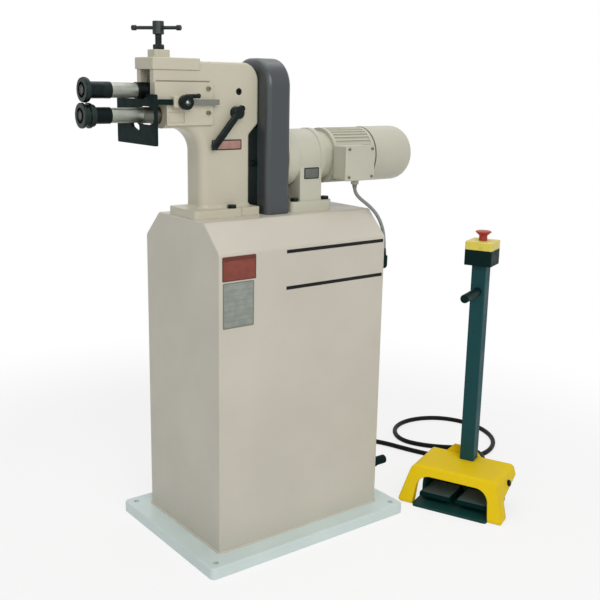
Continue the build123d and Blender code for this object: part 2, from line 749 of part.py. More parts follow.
def door_hinges():
    x, y = hinge_axis()
    pieces = []
    for z in hinge_spots():
        pin = rod("Z", HINGE_PIN_RADIUS, z - HINGE_LENGTH, z + HINGE_LENGTH, (x, y))
        barrel = rod("Z", HINGE_RADIUS, z - HINGE_LENGTH, z, (x, y))
        leaf = block((x - HINGE_RADIUS / 2, x + HINGE_RADIUS), (REAR_FACE_Y, y), (z - HINGE_LENGTH, z))
        pieces.append(pin + barrel + leaf)
    return gather(pieces)


def door_handle():
    """Round bow handle bent from one rod."""
    x = HANDLE_INSET - DOOR_LENGTH / 2
    low = door_bottom() + (DOOR_HEIGHT - HANDLE_LENGTH) / 2
    high = low + HANDLE_LENGTH
    face = REAR_FACE_Y + AIR_GAP + DOOR_DEPTH
    out = face + HANDLE_RISE
    path = FilletPolyline((x, face, low), (x, out, low), (x, out, high), (x, face, high), radius=HANDLE_BEND)
    section = Plane(origin=path @ 0, z_dir=path % 0) * Circle(HANDLE_RADIUS)
    return sweep(section, path=path)


def control_panel():
    """Mounting plate on the front wall with a row of contactors."""
    low = PLATE_THICKNESS + PANEL_BOTTOM_HEIGHT
    middle = low + PANEL_HEIGHT / 2
    face = CABINET_WALL - REAR_FACE_Y + PANEL_THICKNESS
    out = face + CONTACTOR_DEPTH
    half = CONTACTOR_HEIGHT / 2
    pieces = [
        block((-PANEL_LENGTH / 2, PANEL_LENGTH / 2), (face - PANEL_THICKNESS, face), (low, low + PANEL_HEIGHT))
    ]
    for k in range(CONTACTOR_COUNT):
        x = (k - (CONTACTOR_COUNT - 1) / 2) * CONTACTOR_PITCH
        width = (x - CONTACTOR_WIDTH / 2, x + CONTACTOR_WIDTH / 2)
        body = block(width, (face, out), (middle - half, middle + half))
        step = face + CONTACTOR_DEPTH * CONTACTOR_STEP
        body -= block(width, (step, out), (middle + half * CONTACTOR_STEP, middle + half))
        pieces.append(body)
    return gather(pieces)


def cable_glands():
    """Elbow inlet of the motor cable, mains gland, pedal outlet, motor gland and hood gland."""
    inside = END_FACE_X - CABINET_WALL - GLAND_THREAD_LENGTH
    elbow = rod("X", GLAND_RADIUS, END_FACE_X, INLET_X, (INLET_Y, INLET_Z))
    elbow += rod("Z", GLAND_RADIUS, INLET_Z, INLET_TOP_Z, (INLET_X, INLET_Y))
    elbow += Pos(INLET_X, INLET_Y, INLET_Z) * Sphere(GLAND_RADIUS)
    elbow += rod("X", GLAND_THREAD_RADIUS, inside, END_FACE_X, (INLET_Y, INLET_Z))
    mains_z = PLATE_THICKNESS + MAINS_GLAND_HEIGHT
    mains = lathe(
        [
            (END_FACE_X, 0, 0),
            (END_FACE_X, MAINS_NUT_RADIUS, MAINS_NUT_EDGE),
            (END_FACE_X + MAINS_GLAND_LENGTH / 3, MAINS_NUT_RADIUS, MAINS_NUT_EDGE),
            (END_FACE_X + MAINS_GLAND_LENGTH / 3, MAINS_GLAND_RADIUS, 0),
            (END_FACE_X + MAINS_GLAND_LENGTH, MAINS_GLAND_RADIUS, MAINS_END_ROUND),
            (END_FACE_X + MAINS_GLAND_LENGTH, 0, 0),
        ],
        mains_z,
    )
    mains = Pos(0, INLET_Y, 0) * mains
    mains += rod("X", GLAND_THREAD_RADIUS, inside, END_FACE_X, (INLET_Y, mains_z))
    spot = (PEDAL_OUTLET_X, PEDAL_OUTLET_Z)
    within = REAR_FACE_Y - CABINET_WALL - GLAND_THREAD_LENGTH
    outlet = rod("Y", PEDAL_GLAND_RADIUS, REAR_FACE_Y, PEDAL_OUTLET_Y, spot)
    outlet = fillet(outlet.edges().sort_by(Axis.Y)[-1], GLAND_ROUND)
    outlet += rod("Y", GLAND_THREAD_RADIUS, within, REAR_FACE_Y, spot)
    return gather([elbow, mains, outlet, motor_gland(), pedal_gland()])


def head_profile():
    """Side outline of the arm and column, in XZ."""
    return [
        (COLUMN_FRONT_X, TOP_Z, 0),
        (COLUMN_FRONT_X, ARM_LOW_Z, ARM_FILLET),
        (NOSE_FRONT_X, ARM_LOW_Z, 0),
        (NOSE_FRONT_X, SLOT_FLOOR_Z, 0),
        (HEAD_FRONT_X, SLOT_FLOOR_Z, 0),
        (HEAD_FRONT_X, CAP_SEAT_Z, 0),
        (CAP_REAR_X, CAP_SEAT_Z, 0),
        (CAP_REAR_X, HEAD_TOP_Z, 0),
        (HEAD_REAR_X, HEAD_TOP_Z, HEAD_TOP_RADIUS),
        (HEAD_REAR_X, LOWER_Z - HEEL_DROP, HEEL_RADIUS),
        (COLUMN_REAR_X, LOWER_Z - HEEL_DROP - HEEL_HEIGHT, HEEL_RADIUS),
        (COLUMN_REAR_X, TOP_Z, 0),
    ]


def rounded_head():
    """Arm and column with their long edges rounded."""
    half = HEAD_WIDTH / 2
    head = prism(head_profile(), "Y", -half, half)
    sides = head.edges().filter_by(lambda e: abs(abs(e.center().Y) - half) < NEAR)
    front = sides.filter_by(
        lambda e: NOSE_FRONT_X < e.center().X < COLUMN_FRONT_X + NEAR and e.center().Z < ARM_LOW_Z + NEAR
    )
    head = fillet(front, COLUMN_FRONT_RADIUS)
    sides = head.edges().filter_by(lambda e: abs(abs(e.center().Y) - half) < NEAR)
    rear = sides.filter_by(lambda e: e.center().X > COLUMN_REAR_X - NEAR or e.center().Z > HEAD_TOP_Z - NEAR)
    return fillet(rear, CASTING_EDGE)


def rear_flare():
    """Hollow-faced flare that carries the column's rear onto the foot."""
    half = HEAD_WIDTH / 2 - CASTING_EDGE
    high = FOOT_TOP_Z + REAR_FLARE
    far = COLUMN_REAR_X + REAR_FLARE
    wedge = block((COLUMN_REAR_X - CASTING_EDGE, far), (-half, half), (TOP_Z, high))
    return wedge - rod("Y", REAR_FLARE, -half, half, (far, high))


def head_casting():
    half = HEAD_WIDTH / 2
    head = rounded_head()
    foot = Pos(FOOT_FRONT_X + FOOT_LENGTH / 2, 0, TOP_Z) * extrude(
        RectangleRounded(FOOT_LENGTH, FOOT_WIDTH, FOOT_CORNER_RADIUS), FOOT_HEIGHT
    )
    rear_half = REAR_FOOT_WIDTH / 2
    foot += block((FOOT_FRONT_X + FOOT_LENGTH / 2, REAR_FOOT_X), (-rear_half, rear_half), (TOP_Z, FOOT_TOP_Z))
    head += foot
    joint = head.edges().filter_by(
        lambda e: abs(e.center().Z - FOOT_TOP_Z) < NEAR
        and abs(e.center().Y) < half + NEAR
        and COLUMN_FRONT_X - NEAR < e.center().X < COLUMN_REAR_X + NEAR
    )
    head = fillet(joint, FOOT_FILLET)
    head += rear_flare()
    slot = SLOT_WIDTH / 2
    head -= block((HEAD_FRONT_X, SLOT_REAR_X), (-slot, slot), (SLOT_FLOOR_Z, CAP_SEAT_Z))
    tunnel_top = UPPER_Z + TUNNEL_ABOVE_AXIS
    head -= block((SLOT_REAR_X, HEAD_REAR_X), (-slot, slot), (SLOT_FLOOR_Z, tunnel_top))
    head -= rod("X", SHAFT_CLEAR_RADIUS, NOSE_FRONT_X, HEAD_REAR_X, (0, LOWER_Z))
    head -= rod("X", BUSH_RADIUS + SEAT_FIT, NOSE_FRONT_X, NOSE_FRONT_X + BUSH_LENGTH, (0, LOWER_Z))
    head -= rod("X", BUSH_RADIUS + SEAT_FIT, REAR_BUSH_X, HEAD_REAR_X, (0, LOWER_Z))
    pin = TRUNNION_SCREW_RADIUS + SEAT_FIT
    head -= rod("Y", pin, -half, half, (SWIVEL_X, UPPER_Z))
    stem = LEVER_STEM_RADIUS + RUN_FIT
    head -= rod("Y", stem, -half, HEAD_FACE_Y + LEVER_STEM_DEPTH, (LEVER_X, LEVER_Z))
    for x, y in cap_screw_spots():
        head -= rod("Z", CAP_SCREW_RADIUS + SEAT_FIT, CAP_SEAT_Z - CAP_SCREW_DEPTH, CAP_SEAT_Z, (x, y))
    for x, z in side_screw_spots():
        screw = SIDE_SCREW_RADIUS + SEAT_FIT
        head -= rod("Y", screw, -half, HEAD_FACE_Y + SIDE_SCREW_DEPTH, (x, z))
    for spot in HEAD_BOLTS:
        head -= rod("Z", BOLT_RADIUS + HOLE_FIT, TOP_Z, FOOT_TOP_Z, spot)
        head -= rod("Z", BOLT_ACROSS * SPOT_FACE, FOOT_TOP_Z, FOOT_TOP_Z + 2 * FOOT_FILLET, spot)
    return head


def cap_screw_spots():
    y = (SLOT_WIDTH + HEAD_WIDTH) / 4
    xs = (HEAD_FRONT_X + CAP_SCREW_INSET, CAP_REAR_X - CAP_SCREW_INSET)
    return [(x, s * y) for x in xs for s in (-1, 1)]


def side_screw_spots():
    x = SIDE_PLATE_REAR_X - SIDE_SCREW_INSET
    low = LOWER_Z - SIDE_PLATE_LOW + SIDE_SCREW_INSET * 2
    high = LOWER_Z + SIDE_PLATE_HIGH - SIDE_SCREW_INSET
    return [(x, low), (x, high)]


def gearbox_bolt_spots():
    return corners(GEARBOX_BOLT_SPACING_X, GEARBOX_BOLT_SPACING_Y, GEARBOX_BOLT_X)


def hex_bolts():
    """Bolts of the head's foot and of the gearbox's foot, all of one size."""
    pieces = []
    for x, y in HEAD_BOLTS:
        bolt = hex_bolt(BOLT_RADIUS, BOLT_ACROSS, BOLT_HEAD, FOOT_HEIGHT + BOLT_GRIP)
        pieces.append(Pos(x, y, FOOT_TOP_Z) * bolt)
    for x, y in gearbox_bolt_spots():
        bolt = hex_bolt(BOLT_RADIUS, BOLT_ACROSS, BOLT_HEAD, GEARBOX_FOOT_HEIGHT + BOLT_GRIP)
        pieces.append(Pos(x, y, TOP_Z + GEARBOX_FOOT_HEIGHT) * bolt)
    return gather(pieces)


def nut_screw_spots():
    return corners(NUT_SCREW_SPACING, NUT_SCREW_SPACING, SCREW_X)


def slide_cap():
    """Cap over the fork, which stands proud of the casting in front and at both sides."""
    half = HEAD_WIDTH / 2 + CAP_PROUD
    cap = block((HEAD_FRONT_X - CAP_PROUD, CAP_REAR_X), (-half, half), (CAP_SEAT_Z, CAP_TOP_Z))
    top = cap.faces().sort_by(Axis.Z)[-1].edges()
    cap = fillet(top, CASTING_EDGE / 2)
    cap -= rod("Z", NUT_SPIGOT_RADIUS + SEAT_FIT, CAP_SEAT_Z, CAP_TOP_Z, (SCREW_X, 0))
    sink = 2 * CAP_SCREW_RADIUS + SEAT_FIT
    for spot in cap_screw_spots():
        cap -= rod("Z", CAP_SCREW_RADIUS + HOLE_FIT, CAP_SEAT_Z, CAP_TOP_Z, spot)
        cap -= rod("Z", SOCKET_HEAD * CAP_SCREW_RADIUS + HOLE_FIT, CAP_TOP_Z - sink, CAP_TOP_Z, spot)
    for spot in nut_screw_spots():
        cap -= rod("Z", NUT_SCREW_RADIUS + SEAT_FIT, CAP_TOP_Z - NUT_SCREW_DEPTH, CAP_TOP_Z, spot)
    return cap


def socket_screws():
    """Screws of the slide cap, the nut flange, the side plate, the terminal lid and the hood."""
    pieces = []
    sink = 2 * CAP_SCREW_RADIUS + SEAT_FIT
    for x, y in cap_screw_spots():
        screw = socket_screw(CAP_SCREW_RADIUS, CAP_THICKNESS - sink + CAP_SCREW_DEPTH - AIR_GAP)
        pieces.append(Pos(x, y, CAP_TOP_Z - sink) * screw)
    for x, y in nut_screw_spots():
        sunk = 2 * NUT_SCREW_RADIUS + SEAT_FIT
        screw = socket_screw(NUT_SCREW_RADIUS, NUT_HEIGHT - sunk + NUT_SCREW_DEPTH - AIR_GAP)
        pieces.append(Pos(x, y, NUT_TOP_Z - sunk) * screw)
    for x, z in side_screw_spots():
        screw = socket_screw(SIDE_SCREW_RADIUS, SIDE_PLATE_THICKNESS + SIDE_SCREW_DEPTH - AIR_GAP)
        pieces.append(Pos(x, SIDE_PLATE_Y, z) * Rot(90, 0, 0) * screw)
    for x, z in terminal_screw_spots():
        screw = socket_screw(TERMINAL_SCREW_RADIUS, TERMINAL_LID + TERMINAL_WALL)
        pieces.append(Pos(x, TERMINAL_FRONT_Y - TERMINAL_LID, z) * Rot(90, 0, 0) * screw)
    return gather(pieces + hood_screws())


def screw_nut():
    """Square flange that holds the adjusting screw's thread."""
    half = NUT_WIDTH / 2
    nut = block((SCREW_X - half, SCREW_X + half), (-half, half), (CAP_TOP_Z, NUT_TOP_Z))
    nut = fillet(nut.edges().filter_by(Axis.Z), CASTING_EDGE)
    nut = fillet(nut.faces().sort_by(Axis.Z)[-1].edges(), CASTING_EDGE / 3)
    nut += rod("Z", NUT_SPIGOT_RADIUS, CAP_SEAT_Z + CAP_THICKNESS / 3, CAP_TOP_Z, (SCREW_X, 0))
    nut -= rod("Z", SCREW_RADIUS + RUN_FIT, CAP_SEAT_Z, NUT_TOP_Z, (SCREW_X, 0))
    sunk = 2 * NUT_SCREW_RADIUS + SEAT_FIT
    for spot in nut_screw_spots():
        nut -= rod("Z", NUT_SCREW_RADIUS + HOLE_FIT, CAP_TOP_Z, NUT_TOP_Z, spot)
        nut -= rod("Z", SOCKET_HEAD * NUT_SCREW_RADIUS + HOLE_FIT, NUT_TOP_Z - sunk, NUT_TOP_Z, spot)
    return nut


def lock_ring():
    ring = pipe("Z", RING_RADIUS, SCREW_RADIUS + RUN_FIT, NUT_TOP_Z, RING_TOP_Z, (SCREW_X, 0))
    return chamfer(ring.edges().filter_by(GeomType.CIRCLE).group_by(Axis.Z)[-1].sort_by(SortBy.RADIUS)[-1], RING_CHAMFER)


def bar_height():
    return HUB_LOW_Z + HUB_HEIGHT / 2


def adjusting_screw():
    nose_low = PAD_TOP_Z - PAD_HEIGHT / 2
    screw = rod("Z", SCREW_RADIUS, PAD_TOP_Z + SLIDE_FIT, HUB_LOW_Z, (SCREW_X, 0))
    hub = rod("Z", HUB_RADIUS, HUB_LOW_Z, HUB_LOW_Z + HUB_HEIGHT, (SCREW_X, 0))
    hub = fillet(hub.edges().filter_by(GeomType.CIRCLE), HUB_RADIUS / 6)
    screw += hub
    screw += rod("Z", SCREW_NOSE_RADIUS, nose_low + SLIDE_FIT, PAD_TOP_Z + SLIDE_FIT, (SCREW_X, 0))
    hole = rod("X", BAR_RADIUS + SLIDE_FIT, -2 * HUB_RADIUS, 2 * HUB_RADIUS, (0, 0))
    return screw - Pos(SCREW_X, 0, bar_height()) * Rot(0, 0, BAR_TURN) * hole


def tommy_bar():
    half = BAR_LENGTH / 2
    bar = rod("X", BAR_RADIUS, -half, half, (0, 0))
    for side in (-1, 1):
        ends = sorted((side * half, side * (half - BAR_KNOB_LENGTH)))
        knob = rod("X", BAR_KNOB_RADIUS, *ends, (0, 0))
        bar += fillet(knob.edges().filter_by(GeomType.CIRCLE), BAR_KNOB_RADIUS / 3)
    return Pos(SCREW_X, 0, bar_height()) * Rot(0, 0, BAR_TURN) * Pos(BAR_OFFSET, 0, 0) * bar


def thrust_pad():
    spot = (SCREW_X, 0)
    pad = rod("Z", PAD_RADIUS, PAD_LOW_Z, PAD_TOP_Z, spot)
    pad += rod("Z", PAD_NECK_RADIUS, PAD_HEAD_LOW_Z, PAD_LOW_Z, spot)
    pad += rod("Z", PAD_HEAD_RADIUS, PAD_HEAD_LOW_Z, PAD_HEAD_TOP_Z, spot)
    return pad - rod("Z", SCREW_NOSE_RADIUS + RUN_FIT, PAD_TOP_Z - PAD_HEIGHT / 2, PAD_TOP_Z, spot)


def upper_bearing_block():
    half = SLOT_WIDTH / 2 - SLIDE_FIT
    front = SCREW_X - BLOCK_LENGTH / 2
    rear = SCREW_X + BLOCK_LENGTH / 2
    piece = block((front, rear), (-half, half), (UPPER_Z - BLOCK_BELOW_AXIS, BLOCK_TOP_Z))
    piece -= rod("X", SHAFT_RADIUS + RUN_FIT, front, rear, (0, UPPER_Z))
    slot_rear = SCREW_X + PAD_HEAD_RADIUS + AIR_GAP
    neck = PAD_NECK_RADIUS + AIR_GAP
    wide = PAD_HEAD_RADIUS + AIR_GAP
    low = PAD_HEAD_LOW_Z - PAD_PLAY
    high = PAD_HEAD_TOP_Z + PAD_PLAY
    piece -= block((front, slot_rear), (-neck, neck), (low, BLOCK_TOP_Z))
    return piece - block((front, slot_rear), (-wide, wide), (low, high))


def roller_shaft(z, roll_front, roll_rear, sleeve_rear, end):
    """Shaft with a threaded nose, a roll seat, a sleeve seat, its body and a gear seat."""
    floor = roll_front + ROLL_RECESS_DEPTH
    shaft = rod("X", ROLL_THREAD_RADIUS, roll_front, floor, (0, z))
    shaft += rod("X", ROLL_SEAT_RADIUS, floor, roll_rear, (0, z))
    shaft += rod("X", SLEEVE_SEAT_RADIUS, roll_rear, sleeve_rear, (0, z))
    shaft += rod("X", SHAFT_RADIUS, sleeve_rear, GEAR_FRONT_X, (0, z))
    return shaft + rod("X", GEAR_SEAT_RADIUS, GEAR_FRONT_X, end, (0, z))


def upper_shaft():
    return roller_shaft(UPPER_Z, UPPER_ROLL_FRONT_X, UPPER_ROLL_REAR_X, UPPER_SLEEVE_REAR_X, GEAR_REAR_X)


def lower_shaft():
    return roller_shaft(LOWER_Z, LOWER_ROLL_FRONT_X, LOWER_ROLL_REAR_X, LOWER_SLEEVE_REAR_X, SPROCKET_REAR_X)


def spacers(z, roll_rear, sleeve_rear, collar_front, collar_rear):
    """Sleeve behind the roll and collar before the head."""
    seat = SLEEVE_SEAT_RADIUS + SEAT_FIT
    sleeve = pipe("X", SLEEVE_RADIUS, seat, roll_rear, sleeve_rear, (0, z))
    bore = SHAFT_RADIUS + SEAT_FIT
    collar = pipe("X", SLEEVE_RADIUS, bore, collar_front, collar_rear, (0, z))
    return gather([sleeve, collar])


def upper_spacers():
    return spacers(
        UPPER_Z, UPPER_ROLL_REAR_X, UPPER_SLEEVE_REAR_X, UPPER_COLLAR_FRONT_X, UPPER_COLLAR_REAR_X
    )


def lower_spacers():
    return spacers(
        LOWER_Z, LOWER_ROLL_REAR_X, LOWER_SLEEVE_REAR_X, LOWER_COLLAR_FRONT_X, LOWER_COLLAR_REAR_X
    )


def roll_blank(points, z, front, rear):
    """Turned roll with its bore and the nut recess in its face."""
    floor = front + ROLL_RECESS_DEPTH
    roll = lathe(points, z)
    roll -= rod("X", ROLL_RECESS_RADIUS, front, floor, (0, z))
    return roll - rod("X", ROLL_SEAT_RADIUS + SEAT_FIT, floor, rear, (0, z))


def upper_roll():
    """Male roll: a rounded bead between two shoulders."""
    half = BEAD_WIDTH / 2
    points = [
        (UPPER_ROLL_FRONT_X, 0, 0),
        (UPPER_ROLL_FRONT_X, UPPER_ROLL_RADIUS, ROLL_EDGE),
        (BEAD_X - half, UPPER_ROLL_RADIUS, 0),
        (BEAD_X - half, BEAD_RADIUS, ROLL_EDGE),
        (BEAD_X + half, BEAD_RADIUS, ROLL_EDGE),
        (BEAD_X + half, UPPER_ROLL_RADIUS, 0),
        (UPPER_ROLL_REAR_X, UPPER_ROLL_RADIUS, ROLL_EDGE),
        (UPPER_ROLL_REAR_X, 0, 0),
    ]
    return roll_blank(points, UPPER_Z, UPPER_ROLL_FRONT_X, UPPER_ROLL_REAR_X)


def lower_roll():
    """Female roll: a groove between two flanges, with a hub behind."""
    half = GROOVE_WIDTH / 2
    hub = BEAD_X + half + GROOVE_WALL
    points = [
        (LOWER_ROLL_FRONT_X, 0, 0),
        (LOWER_ROLL_FRONT_X, LOWER_ROLL_RADIUS, ROLL_RIM),
        (BEAD_X - half, LOWER_ROLL_RADIUS, ROLL_EDGE),
        (BEAD_X - half, GROOVE_RADIUS, ROLL_EDGE),
        (BEAD_X + half, GROOVE_RADIUS, ROLL_EDGE),
        (BEAD_X + half, LOWER_ROLL_RADIUS, ROLL_EDGE),
        (hub, LOWER_ROLL_RADIUS, ROLL_EDGE),
        (hub, LOWER_HUB_RADIUS, 0),
        (LOWER_ROLL_REAR_X, LOWER_HUB_RADIUS, ROLL_EDGE),
        (LOWER_ROLL_REAR_X, 0, 0),
    ]
    return roll_blank(points, LOWER_Z, LOWER_ROLL_FRONT_X, LOWER_ROLL_REAR_X)


def roll_nut(front, z):
    """Hexagon nut in the roll's recess."""
    floor = front + ROLL_RECESS_DEPTH
    nut = extrude(RegularPolygon(ROLL_NUT_ACROSS / 2, 6, major_radius=False), ROLL_NUT_THICKNESS)
    nut = Pos(floor - ROLL_NUT_THICKNESS, 0, z) * Rot(0, 90, 0) * nut
    return nut - rod("X", ROLL_THREAD_RADIUS + SEAT_FIT, floor - ROLL_NUT_THICKNESS, floor, (0, z))


def upper_roll_nut():
    return roll_nut(UPPER_ROLL_FRONT_X, UPPER_Z)


def lower_roll_nut():
    return roll_nut(LOWER_ROLL_FRONT_X, LOWER_Z)


def gear(z):
    """Spur gear with thinned teeth, so that it still runs free when the rolls are opened."""
    pitch = GEAR_MODULE * GEAR_TEETH / 2
    quarter = pi / 2 / GEAR_TEETH
    disc = toothed_disc(
        GEAR_TEETH,
        pitch - GEAR_ROOT * GEAR_MODULE,
        pitch + GEAR_MODULE,
        quarter * GEAR_ROOT_SHARE,
        quarter * GEAR_TIP_SHARE,
        GEAR_FRONT_X,
        GEAR_REAR_X,
        z,
    )
    return disc - rod("X", GEAR_SEAT_RADIUS + SEAT_FIT, GEAR_FRONT_X, GEAR_REAR_X, (0, z))


def upper_gear():
    return gear(UPPER_Z)


def lower_gear():
    return gear(LOWER_Z)


def sprocket_disc(teeth, pitch_radius, z):
    quarter = pi / 2 / teeth
    return toothed_disc(
        teeth,
        pitch_radius - SPROCKET_ROOT,
        pitch_radius + SPROCKET_TIP,
        quarter * SPROCKET_ROOT_SHARE,
        quarter * SPROCKET_TIP_SHARE,
        SPROCKET_FRONT_X,
        SPROCKET_REAR_X,
        z,
    )


def driven_sprocket():
    disc = sprocket_disc(DRIVEN_TEETH, DRIVEN_PITCH_RADIUS, LOWER_Z)
    disc += rod("X", SPROCKET_HUB_RADIUS, GEAR_REAR_X, SPROCKET_FRONT_X, (0, LOWER_Z))
    return disc - rod("X", GEAR_SEAT_RADIUS + SEAT_FIT, GEAR_REAR_X, SPROCKET_REAR_X, (0, LOWER_Z))


def drive_sprocket():
    disc = sprocket_disc(DRIVE_TEETH, DRIVE_PITCH_RADIUS, MOTOR_Z)
    return disc - rod("X", OUTPUT_RADIUS + SEAT_FIT, SPROCKET_FRONT_X, SPROCKET_REAR_X, (0, MOTOR_Z))


def chain_run(side, grow):
    """Ends of the chain's straight run on one side, offset outwards by grow."""
    slope = asin((DRIVE_PITCH_RADIUS - DRIVEN_PITCH_RADIUS) / (LOWER_Z - MOTOR_Z))
    ends = []
    for radius, z in ((DRIVE_PITCH_RADIUS, MOTOR_Z), (DRIVEN_PITCH_RADIUS, LOWER_Z)):
        reach = radius + grow
        ends.append(Vector(0, side * reach * cos(slope), z + reach * sin(slope)))
    return ends


def chain_loop(grow, start, end):
    """Solid stretched round both sprockets, offset from the pitch line by grow."""
    loop = rod("X", DRIVE_PITCH_RADIUS + grow, start, end, (0, MOTOR_Z))
    loop += rod("X", DRIVEN_PITCH_RADIUS + grow, start, end, (0, LOWER_Z))
    low_left, high_left = chain_run(-1, grow)
    low_right, high_right = chain_run(1, grow)
    points = [(p.Y, p.Z, 0) for p in (low_left, low_right, high_right, high_left)]
    return loop + prism(points, "X", start, end)


def drive_chain():
    """Two rows of link plates beside the sprockets, joined by pins along the straight runs."""
    near = SPROCKET_FRONT_X - CHAIN_PLATE_GAP
    far = SPROCKET_REAR_X + CHAIN_PLATE_GAP
    chain = chain_loop(CHAIN_HALF_HEIGHT, near - CHAIN_PLATE, near)
    chain -= chain_loop(-CHAIN_HALF_HEIGHT, near - CHAIN_PLATE, near)
    back = chain_loop(CHAIN_HALF_HEIGHT, far, far + CHAIN_PLATE)
    chain += back - chain_loop(-CHAIN_HALF_HEIGHT, far, far + CHAIN_PLATE)
    for side in (-1, 1):
        low, high = chain_run(side, 0)
        way = high - low
        count = int((way.length - 2 * CHAIN_PIN_MARGIN) / CHAIN_PITCH)
        spare = (way.length - count * CHAIN_PITCH) / 2
        for k in range(count + 1):
            spot = low + way.normalized() * (spare + k * CHAIN_PITCH)
            chain += rod("X", CHAIN_PIN_RADIUS, near - CHAIN_PLATE, far + CHAIN_PLATE, (spot.Y, spot.Z))
    return chain


def upper_rear_bearing():
    """Swivelling bearing that lets the upper shaft tilt."""
    half = SWIVEL_LENGTH / 2
    side = SWIVEL_WIDTH / 2
    ends = (SWIVEL_X - half, SWIVEL_X + half)
    piece = block(ends, (-side, side), (UPPER_Z - SWIVEL_HEIGHT / 2, UPPER_Z + SWIVEL_HEIGHT / 2))
    piece -= rod("X", SHAFT_RADIUS + RUN_FIT, *ends, (0, UPPER_Z))
    for s in (-1, 1):
        depth = sorted((s * side, s * (side - TRUNNION_DEPTH)))
        piece -= rod("Y", TRUNNION_RADIUS + RUN_FIT, *depth, (SWIVEL_X, UPPER_Z))
    return piece


def trunnion_pins():
    """Screwed pins through the head's sides, with a socket in each outer end."""
    outer = HEAD_WIDTH / 2
    inner = SLOT_WIDTH / 2
    nose = SWIVEL_WIDTH / 2 - TRUNNION_DEPTH + SLIDE_FIT
    pieces = []
    for s in (-1, 1):
        body = rod("Y", TRUNNION_SCREW_RADIUS, *sorted((s * inner, s * outer)), (SWIVEL_X, UPPER_Z))
        body += rod("Y", TRUNNION_RADIUS, *sorted((s * nose, s * inner)), (SWIVEL_X, UPPER_Z))
        sink = sorted((s * outer, s * (outer - TRUNNION_SOCKET_DEPTH)))
        pieces.append(body - rod("Y", TRUNNION_SOCKET_RADIUS, *sink, (SWIVEL_X, UPPER_Z)))
    return gather(pieces)


def lower_bushes():
    bore = SHAFT_RADIUS + RUN_FIT
    front = pipe("X", BUSH_RADIUS, bore, NOSE_FRONT_X, NOSE_FRONT_X + BUSH_LENGTH, (0, LOWER_Z))
    rear = pipe("X", BUSH_RADIUS, bore, REAR_BUSH_X, REAR_BUSH_X + BUSH_LENGTH, (0, LOWER_Z))
    return gather([front, rear])


def side_plate():
    """Plate on the head's front with the guide that the fence bar slides in."""
    low = LOWER_Z - SIDE_PLATE_LOW
    high = LOWER_Z + SIDE_PLATE_HIGH
    points = [
        (NOSE_FRONT_X, low, SIDE_PLATE_NOSE_ROUND),
        (SIDE_PLATE_REAR_X, low, SIDE_PLATE_ROUND),
        (SIDE_PLATE_REAR_X, high, SIDE_PLATE_ROUND),
        (HEAD_FRONT_X, high, SIDE_PLATE_NOSE_ROUND),
        (HEAD_FRONT_X, SLOT_FLOOR_Z, 0),
        (NOSE_FRONT_X, SLOT_FLOOR_Z, 0),
    ]
    plate = prism(points, "Y", SIDE_PLATE_Y, HEAD_FACE_Y)
    pocket_x = NOSE_FRONT_X + POCKET_SETBACK
    pocket_z = low + POCKET_RISE
    plate -= block(
        (pocket_x, pocket_x + POCKET_LENGTH),
        (SIDE_PLATE_Y, SIDE_PLATE_Y + POCKET_DEPTH),
        (pocket_z, pocket_z + POCKET_HEIGHT),
    )
    reach = GUIDE_LENGTH / 2
    tall = FENCE_BAR_HEIGHT / 2 + SLIDE_FIT
    shell = tall + GUIDE_WALL
    guide = block(
        (CLAMP_X - reach, CLAMP_X + reach),
        (GUIDE_FRONT_Y, SIDE_PLATE_Y),
        (FENCE_BAR_Z - shell, FENCE_BAR_Z + shell),
    )
    guide = fillet(guide.faces().sort_by(Axis.Y)[0].edges(), GUIDE_ROUND)
    guide -= block(
        (CLAMP_X - reach, CLAMP_X + reach),
        (BAR_FRONT_Y - SLIDE_FIT, SIDE_PLATE_Y),
        (FENCE_BAR_Z - tall, FENCE_BAR_Z + tall),
    )
    stud = CLAMP_STUD_RADIUS + RUN_FIT
    plate += guide - rod("Y", stud, GUIDE_FRONT_Y, BAR_FRONT_Y, (CLAMP_X, FENCE_BAR_Z))
    for spot in side_screw_spots():
        plate -= rod("Y", SIDE_SCREW_RADIUS + HOLE_FIT, SIDE_PLATE_Y, HEAD_FACE_Y, spot)
    return plate


def fence():
    """Back-gauge plate with a slot round the lower shaft, an ear, an oblong hole and the bar behind it."""
    low = LOWER_Z - FENCE_BELOW_AXIS
    high = LOWER_Z + FENCE_ABOVE_AXIS
    ear = FENCE_EAR_LENGTH - FENCE_FRONT
    rear = FENCE_X + FENCE_THICKNESS
    points = [
        (-FENCE_FRONT, low, FENCE_CORNER),
        (FENCE_BACK, low, FENCE_CORNER),
        (FENCE_BACK, high, FENCE_CORNER),
        (ear, high, FENCE_CORNER),
        (ear, high + FENCE_EAR_HEIGHT, FENCE_CORNER),
        (-FENCE_FRONT, high + FENCE_EAR_HEIGHT, FENCE_CORNER),
    ]
    plate = prism(points, "X", FENCE_X, rear)
    slot = FENCE_SLOT_RADIUS
    slot_front = FENCE_SLOT_RIM + slot - FENCE_FRONT
    plate -= block((FENCE_X, rear), (slot_front, 0), (LOWER_Z - slot, LOWER_Z + slot))
    for y in (slot_front, 0):
        plate -= rod("X", slot, FENCE_X, rear, (y, LOWER_Z))
    hole = extrude(SlotOverall(FENCE_HOLE_LENGTH, FENCE_HOLE_WIDTH), FENCE_THICKNESS)
    centre = (FENCE_X, FENCE_HOLE_Y, LOWER_Z - FENCE_HOLE_DROP)
    plate -= Plane(centre, x_dir=UNIT["Y"], z_dir=UNIT["X"]) * Rot(0, 0, FENCE_HOLE_TURN) * hole
    tall = FENCE_BAR_HEIGHT / 2
    bar = block(
        (rear, rear + FENCE_BAR_LENGTH), (BAR_FRONT_Y, BAR_BACK_Y), (FENCE_BAR_Z - tall, FENCE_BAR_Z + tall)
    )
    return plate + bar


